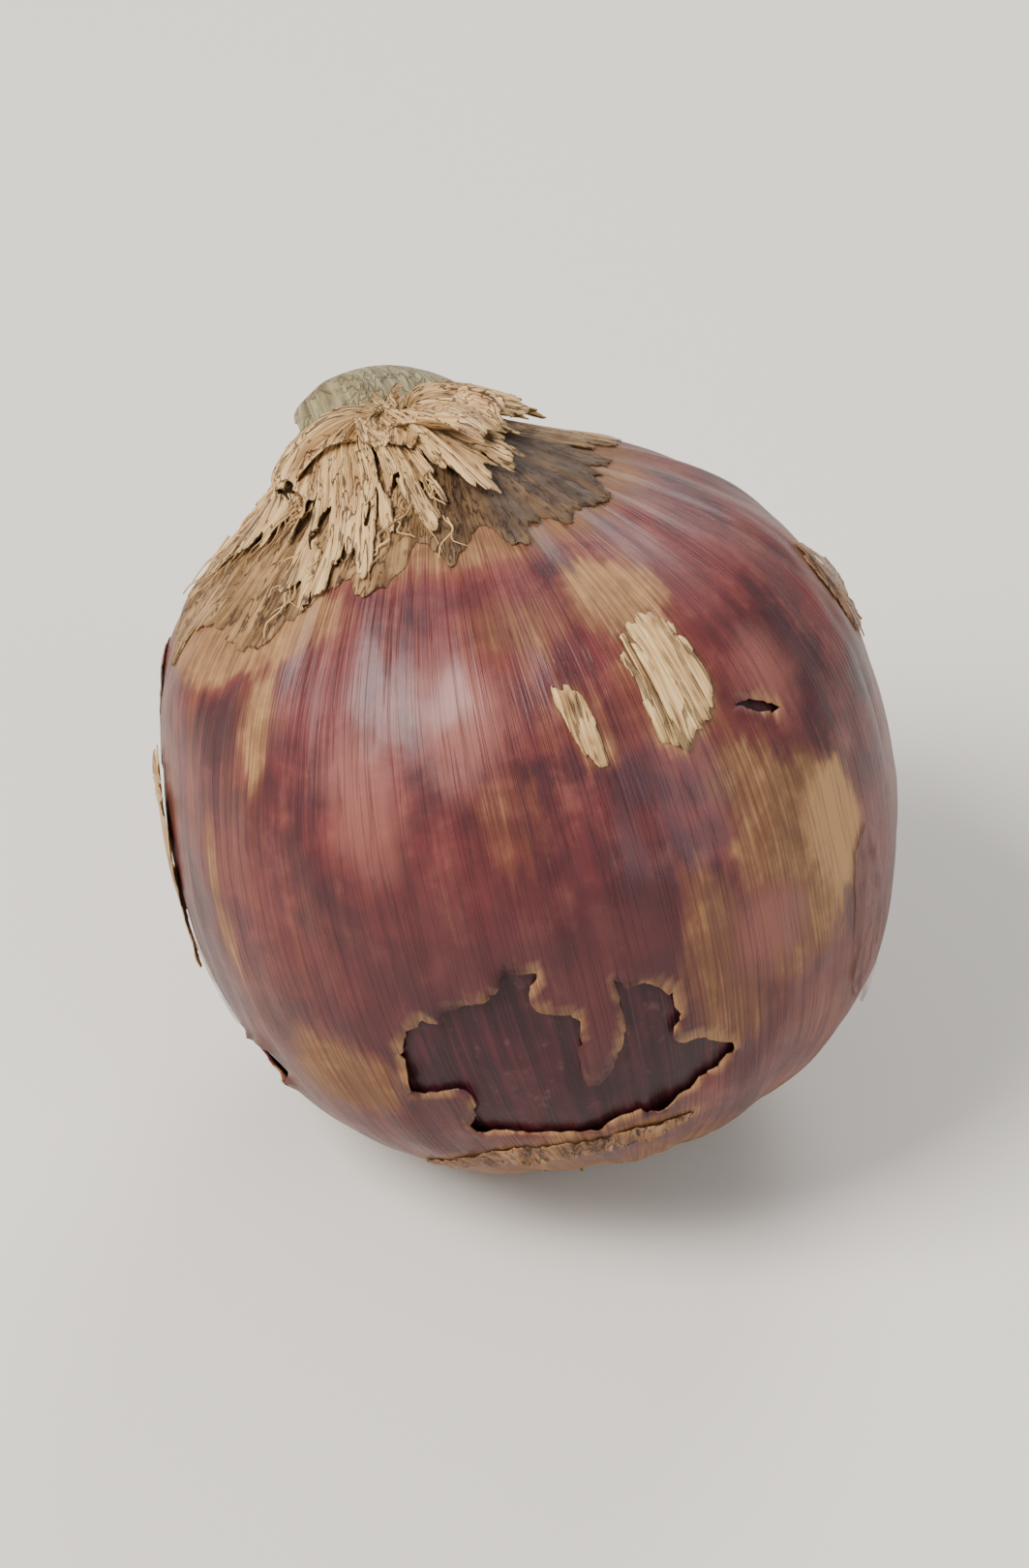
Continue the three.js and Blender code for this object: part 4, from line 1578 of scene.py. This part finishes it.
    def sheath_points(self, azimuth: Array, share: Array, lift: Array | float) -> Array:
        """Points of the sheath.

        Its knots give a smooth curve of radius and height, and the radius is swelled and filled
        out as the skin's is. Near the top the ring is drawn to an oval, by one plus a share of the
        cosine of twice the azimuth. Pleats of two cosines and crinkles of noise grow towards the
        top. The whole bends to one side by the cube of the height, falls by the shoulder's slope
        where the bend carries it outward, and rides on the crown.

        Args:
            azimuth: Angles round the axis, in radians.
            share: Shares of the way from the hem to the neck.
            lift: How far outward to move the points.

        Returns:
            The points.
        """
        curve = curve_through(np.array(self.sheath), share)
        radius, height = curve[..., 0], curve[..., 1]
        loose = smooth(height, *self.loose_heights)
        wide = radius * FORM.swell(azimuth, height)
        wide = wide + FORM.shoulder.rise_at(azimuth, height, wide)
        wide = wide * self.drawn(azimuth, self.oval * smooth(height, *self.oval_heights))
        waves = np.cos(11 * azimuth) + 0.5 * np.cos(7 * azimuth + 1.3)
        pleat = self.pleat_depth * loose * waves
        crinkle = self.sheath_crinkle.at(azimuth, height) * blend(0.26, 0.8, loose)
        folds = self.sheath_folds.at(azimuth, height) * blend(0.1, 0.26, loose)
        out = (pleat + crinkle) * np.clip(wide / self.flat_radius, 0, 1) + folds + lift
        wide = np.maximum(wide + out * 0.45, self.least_radius)
        bend = self.bend * (np.clip(height - self.bend_start, 0, None) / self.bend_height) ** 3
        towards = math.radians(self.bend_towards)
        fall = self.slope * bend * np.cos(azimuth - towards) * smooth(radius, 1, 7)
        x = wide * np.cos(azimuth) + bend * math.cos(towards)
        y = wide * np.sin(azimuth) + bend * math.sin(towards)
        return np.stack([x, y, height + out * 0.85 - fall + FORM.crown.rise_over(x, y)], axis=-1)

    def build_sheath(self) -> Surface:
        """The straw sheath, gathered to the neck, with a torn hem, slits and gaps.

        Returns:
            The closed surface.
        """
        knots = np.array(self.sheath)

        def keep(azimuth: Array, share: Array) -> Array:
            """Inside the hem, and off the slits and gaps above it.

            Args:
                azimuth: Angles round the axis, in radians.
                share: Shares of the outline's length, from the root end.

            Returns:
                One value for each place, above zero where the sheet is.
            """
            radius = curve_through(knots, share)[..., 0]
            far = self.reach(azimuth, self.sheath_ring, self.sheath_tongues)
            far = far + self.sheath_threads.at(azimuth, radius)
            far = far + self.sheath_waves.at(azimuth, radius)
            open_places = [cut.clearance(azimuth, radius) for cut in (self.slits, self.gaps)]
            return np.minimum(far - radius, np.minimum(*open_places))

        azimuth, share, quads = Patch((0, 360), (0.0, 1.0), *self.sheath_cells).torn(keep)
        inside = np.clip(keep(azimuth, share), 0, None)
        radius = curve_through(knots, share)[..., 0]
        raised = self.sheath_mounds.mounds(azimuth, radius)
        hem = raised * np.exp(-inside / 0.7) * smooth(radius, 4, 7)
        lift = self.sheath_lift + self.hem_lift * hem
        paint = {"edge": np.exp(-inside / 0.25), "rosy_and_shade": np.full(len(azimuth), 0.05)}
        places = grain_places(azimuth, 0.75 + 0.25 * share)
        sheet = Surface(self.sheath_points(azimuth, share, lift), quads, places, paint)
        return sheet.shell(self.sheath_points(azimuth, share, lift - self.thickness))

    def build_tip(self, tip: Tip, seed: int) -> Surface:
        """One torn tip.

        Its middle line leans from the vertical by an angle that grows along it. Across it lies a
        shallow arc with pleats, and noise crumples it and tears its end.

        Args:
            tip: The tip's sizes.
            seed: Picks its noise.

        Returns:
            The closed surface.
        """
        half = tip.width / 2

        def torn_end(side: Array, along: Array) -> Array:
            """Short of the ragged end, and inside the two ragged sides.

            Args:
                side: Places across the tip, from -1 to 1.
                along: Places along it, from 0 at its root to 1.

            Returns:
                One value for each place, above zero where the tip is.
            """
            edge = fractal(np.stack([side * 4, along * 0.6, 0 * side], axis=-1), seed, 3)
            flank = fractal(np.stack([side * 2, along * 4.0, 0 * side], axis=-1), seed + 1, 2)
            end = (1 - along - 0.1 - 0.16 * side**2 + 0.14 * edge) * tip.length
            return np.minimum(end, (0.93 - np.abs(side) + 0.14 * flank) * half)

        # The patch's azimuths, from -1 to 1 in radians, stand for places across the tip.
        patch = Patch((-57.3, 57.3), (0.0, 1.0), self.tip_columns, self.tip_rows)
        side, along, quads = patch.torn(torn_end)
        ends = [math.radians(value) for value in (tip.lean_root, tip.lean_end)]
        steps = np.linspace(0, 1, 60)
        angle = blend(*ends, steps**1.2)
        step = tip.length * steps[1]
        out_line = np.cumsum(np.sin(angle)) * step
        up_line = np.cumsum(np.cos(angle)) * step
        lean = np.interp(along, steps, angle)
        azimuth, towards = math.radians(tip.azimuth), math.radians(self.bend_towards)
        ring = self.tip_ring * self.drawn(azimuth, self.oval)
        place = np.stack([side * 2.2, along * 2.4, np.full_like(side, seed)], axis=-1)
        crumple = tip.crumple * fractal(place, seed + 2, 3)
        fold = tip.pleats * np.cos(1.6 * math.pi * side + seed) * smooth(along, 0.0, 0.4)

        def points(lift: float) -> Array:
            """The tip's points, moved by a lift along the normal on the side it bends towards.

            Args:
                lift: How far to move the points.

            Returns:
                The points.
            """
            push = crumple + fold + lift - tip.cup * half * side**2
            out = ring + np.interp(along, steps, out_line) + push * np.cos(lean)
            rise = self.tip_height - tip.sunk + np.interp(along, steps, up_line)
            rise = rise - push * np.sin(lean)
            across = side * half * (1 - 0.35 * along**2)
            x = out * math.cos(azimuth) - across * math.sin(azimuth)
            y = out * math.sin(azimuth) + across * math.cos(azimuth)
            x, y = x + self.tip_bend * math.cos(towards), y + self.tip_bend * math.sin(towards)
            return np.stack([x, y, rise + FORM.crown.rise_over(x, y)], axis=-1)

        turns = (tip.azimuth + 14 * side) / 360 % 1
        uv = np.stack([turns, 0.95 + 0.12 * along], axis=-1)
        inside = np.clip(torn_end(side, along), 0, None)
        paint = {"edge": np.exp(-inside / 0.2), "rosy_and_shade": np.full(len(side), 0.05)}
        return Surface(points(0.0), quads, uv, paint).shell(points(-self.thickness))

    def build_fibres(self) -> Surface:
        """Loose fibres that trail from the sheath's hem over the shoulder.

        Returns:
            The fibres as closed bodies.
        """
        random = np.random.default_rng(self.fibre_seed)
        azimuth = np.radians(random.uniform(*self.fibre_azimuths, self.fibres))
        start = self.reach(azimuth, self.sheath_ring, self.sheath_tongues)
        start = start - random.uniform(*self.fibre_starts, self.fibres)
        length = random.uniform(*self.fibre_lengths, self.fibres)
        t = np.linspace(0, 1, 9)[None, :]
        radius = start[:, None] + length[:, None] * t
        drift = random.uniform(-0.12, 0.12, self.fibres)[:, None] * t**2
        sway = 0.02 * np.sin(9 * t + random.uniform(0, TURN, self.fibres)[:, None])
        shares = np.linspace(0.5, 1, 400)
        rings = FORM.outline_at(shares)[0][:, 0]
        share = np.interp(-radius, -rings, shares)
        lift = self.fibre_lift + random.uniform(-0.2, 0.4, self.fibres)[:, None] * t
        lines = FORM.layer(azimuth[:, None] + drift + sway, share, lift)
        radii = random.uniform(*self.fibre_radii, self.fibres)[:, None] * (1 - 0.5 * t)
        return strands(lines, radii, random.uniform(0.3, 1, self.fibres))

    def build(self) -> None:
        """Builds and settles the layers, the tips and the fibres."""
        tan = StrawFinish(
            "tan_skirt",
            srgb(170, 134, 88),
            srgb(142, 106, 66),
            srgb(94, 66, 40),
            # The dark brown of the painted shade on the skirt's shaded side.
            rose_and_painted_light=srgb(74, 54, 36),
            cracks=0.8,
            clearest=0.45,
        )
        grey = StrawFinish(
            "grey_straw", srgb(144, 136, 100), srgb(118, 108, 74), srgb(84, 72, 48), cracks=0.3
        )
        straw = StrawFinish().material()
        settle(self.build_skirt().to_object("neck_skirt", tan.material()), Node.NECK)
        settle(self.build_sheath().to_object("neck_sheath", straw), Node.NECK)
        made = [self.build_tip(tip, 110 + 3 * k) for k, tip in enumerate(self.tips)]
        bright = Surface.joined([made[0], *made[2:]])
        settle(bright.to_object("neck_tips", straw), Node.NECK)
        settle(made[1].to_object("neck_stub", grey.material()), Node.NECK)
        fibres = self.build_fibres().to_object("neck_fibres", RootFinish().material())
        settle(fibres, Node.NECK)


def strands(lines: Array, radii: Array, tone: Array, sides: int = 6) -> Surface:
    """Round tapered strands along lines, all at once.

    Round each point lie the corners of a regular polygon, square to the line there. A lid closes
    each end.

    Args:
        lines: Points, as strands by points by xyz.
        radii: Radius at each point.
        tone: One painted value for each strand.
        sides: Corners of the polygon, an even number.

    Returns:
        The strands as closed bodies.
    """
    count, steps = radii.shape
    way = np.gradient(lines, axis=1)
    way /= np.linalg.norm(way, axis=-1, keepdims=True) + TINY
    side = np.cross(way, np.array([0.31, 0.17, 0.93]))
    side /= np.linalg.norm(side, axis=-1, keepdims=True) + TINY
    other = np.cross(way, side)
    angle = TURN * np.arange(sides) / sides
    spoke = side[:, :, None] * np.cos(angle)[:, None] + other[:, :, None] * np.sin(angle)[:, None]
    points = lines[:, :, None] + radii[:, :, None, None] * spoke
    s, j, i = np.meshgrid(np.arange(count), np.arange(steps - 1), np.arange(sides), indexing="ij")
    base = s * steps * sides + j * sides
    ahead = (i + 1) % sides
    quads = np.stack([base + i, base + ahead, base + ahead + sides, base + i + sides], axis=-1)
    shape = (count, steps, sides)
    rings = np.arange(count * steps * sides).reshape(shape)
    quads = np.concatenate([quads.reshape(-1, 4), lids(rings[:, 0], rings[:, -1])])
    uv = np.stack(
        [
            np.broadcast_to(angle / TURN, shape),
            np.broadcast_to(np.linspace(0, 1, steps)[:, None], shape),
        ],
        axis=-1,
    )
    tones = np.broadcast_to(tone[:, None, None], shape)
    return Surface(points.reshape(-1, 3), quads, uv.reshape(-1, 2), {"tone": tones.ravel()})


@dataclass
class Roots:
    """The root plate and its tuft of short curly roots."""

    plate_radius: float = 4.6
    plate_cells: tuple[int, int] = (16, 72)
    plate_top: float = -17.3
    plate_bottom: float = -19.9
    knobs: Ripple = Ripple(4, 2.0, 5, 3, 0.3)
    count: int = 120
    steps: int = 10
    radius: float = 0.24
    shortest: float = 1.5
    longest: float = 3.6
    seed: int = 77

    def build_plate(self) -> Surface:
        """A low knobbly dome, drawn in to the axis at its top and bottom and closed there.

        Returns:
            The closed surface.
        """
        rings, columns = self.plate_cells
        j, i = np.meshgrid(np.arange(rings + 1), np.arange(columns), indexing="ij")
        angle = TURN * i / columns
        t = j / rings
        radius = self.plate_radius * np.sin(math.pi * np.clip(t, 0.003, 0.997)) ** 0.6
        height = blend(self.plate_top, self.plate_bottom, smooth(t, 0.3, 0.9))
        knob = self.knobs.at(angle, height) * np.sin(math.pi * t)
        radius = radius * (1 + 0.1 * knob)
        points = np.stack(
            [radius * np.cos(angle), radius * np.sin(angle), height - knob], axis=-1
        ).reshape(-1, 3)
        a = (j[:-1] * columns + i[:-1]).ravel()
        b = (j[:-1] * columns + (i[:-1] + 1) % columns).ravel()
        quads = np.stack([a, a + columns, b + columns, b], axis=-1)
        ends = np.arange(columns)[None, ::-1]
        quads = np.concatenate([quads, lids(ends, ends + rings * columns)])
        uv = np.stack([(angle / TURN).ravel(), t.ravel()], axis=-1)
        tone = np.full(len(points), 0.15)
        return Surface(FORM.press(points), quads, uv, {"tone": tone})

    def build_tuft(self) -> Surface:
        """The roots, by golden angle from the middle of the plate outward.

        Each leaves the plate outward and down, sways by two sines along its length, and lies
        along the resting surface where it meets it.

        Returns:
            The roots as closed bodies.
        """
        random = np.random.default_rng(self.seed)
        number = np.arange(self.count)
        share = np.sqrt((number + 0.5) / self.count)
        angle = number * GOLDEN_TURN
        out, side = on_ring(angle, 0 * angle, 1, 0), on_ring(angle + TURN / 4, 0 * angle, 1, 0)
        length = random.uniform(self.shortest, self.longest, self.count)
        hook = random.uniform(-0.7, 0.7, self.count)
        phase = random.uniform(0, TURN, (2, self.count))
        t = np.linspace(0, 1, self.steps)[None, :]
        spread = (0.25 + 0.9 * share)[:, None]
        grown = length[:, None]
        sway = 0.28 * grown * t * np.sin(6.0 * t + phase[0][:, None])
        wave = 0.22 * grown * t * np.sin(7.5 * t + phase[1][:, None])
        outward = grown * spread * t * (1 - 0.25 * t) + wave
        sideways = grown * hook[:, None] * t**2 + sway
        drop = grown * (t * (1 - 0.3 * share[:, None]) - 0.2 * t**2)
        start = out * (share * (self.plate_radius - 0.5))[:, None]
        lines = start[:, None] + out[:, None] * outward[..., None]
        lines = lines + side[:, None] * sideways[..., None]
        lines[..., 2] += self.plate_bottom + 0.9 - drop
        radii = self.radius * random.uniform(0.7, 1.3, self.count)[:, None] * (1 - 0.6 * t**1.5)
        depth = lines @ FORM.down
        over = np.clip(depth - (FORM.floor_depth - radii), 0, None)
        lines = lines - over[..., None] * FORM.down
        return strands(lines, radii, random.uniform(0, 1, self.count))

    def build(self) -> None:
        """Builds and settles the plate and the tuft."""
        whole = Surface.joined([self.build_plate(), self.build_tuft()])
        settle(whole.to_object("roots", RootFinish().material()), Node.ROOTS)


@dataclass(frozen=True)
class SoftLight:
    """A square light: its name, place in metres, width in metres, watts and colour."""

    name: str
    place: Place
    width: float
    watts: float
    tint: Colour


@dataclass
class Studio:
    """The pale floor, the soft lights and the camera, in metres."""

    elevation_deg: float = 40
    lens: float = 135
    distance: float = 0.34
    aim: Place = (0.0, 0.0, 0.0205)
    floor_reach: float = 3
    sky: Colour = (0.92, 0.95, 1.0)
    sky_strength: float = 0.45
    lights: tuple[SoftLight, ...] = (
        SoftLight("key", (-0.28, -0.16, 0.42), 0.24, 5.2, (1.0, 0.97, 0.93)),
        SoftLight("fill", (0.36, -0.3, 0.22), 0.3, 1.2, (0.95, 0.97, 1.0)),
        SoftLight("rim", (0.12, 0.38, 0.3), 0.2, 1.6, (1.0, 0.98, 0.95)),
    )

    def build_floor(self) -> None:
        """One large flat sheet at the resting height."""
        mesh = bpy.data.meshes.new("floor")
        far = self.floor_reach
        corners = [(-far, -far, 0), (far, -far, 0), (far, far, 0), (-far, far, 0)]
        mesh.from_pydata(corners, [], [(0, 1, 2, 3)])
        mesh.materials.append(PaleFloorFinish().material())
        floor = bpy.data.objects.new("floor", mesh)
        bpy.context.scene.collection.objects.link(floor)

    def stand(self, name: str, data: bpy.types.ID, place: Vector) -> bpy.types.Object:
        """Stands a light or the camera in its place, facing the bulb.

        Args:
            name: The object's name.
            data: The light or the camera.
            place: Its place, in metres.

        Returns:
            The object.
        """
        made = bpy.data.objects.new(name, data)
        made.location = place
        made.rotation_mode = "QUATERNION"
        made.rotation_quaternion = (Vector(self.aim) - place).to_track_quat("-Z", "Y")
        bpy.context.scene.collection.objects.link(made)
        return made

    def build_light(self, light: SoftLight) -> None:
        """A square soft light that faces the bulb.

        Args:
            light: The light's sizes.
        """
        data = bpy.data.lights.new(light.name, "AREA")
        data.shape, data.size = "SQUARE", light.width
        data.energy, data.color = light.watts, light.tint
        self.stand(light.name, data, Vector(light.place))

    def build_camera(self) -> None:
        """The camera, looking down at the bulb from the front."""
        data = bpy.data.cameras.new("camera")
        data.lens = self.lens
        data.clip_start, data.clip_end = 0.01, 10
        tilt = math.radians(self.elevation_deg)
        back = Vector((0, -math.cos(tilt), math.sin(tilt)))
        place = Vector(self.aim) + back * self.distance
        bpy.context.scene.camera = self.stand("camera", data, place)

    def build(self) -> None:
        """Builds the stage."""
        world = bpy.data.worlds.new("soft_sky")
        world.use_nodes = True
        backdrop = world.node_tree.nodes["Background"]
        backdrop.inputs["Color"].default_value = (*self.sky, 1)
        backdrop.inputs["Strength"].default_value = self.sky_strength
        bpy.context.scene.world = world
        self.build_floor()
        for light in self.lights:
            self.build_light(light)
        self.build_camera()


def main() -> None:
    """Builds the pieces in order, then the stage."""
    logging.basicConfig(level=logging.INFO, format="%(name)s: %(message)s")
    for part in (Skin(), DryScales(), Neck(), Roots(), Studio()):
        part.build()
        log.info("%s done", type(part).__name__)


if __name__ == "__main__":
    main()
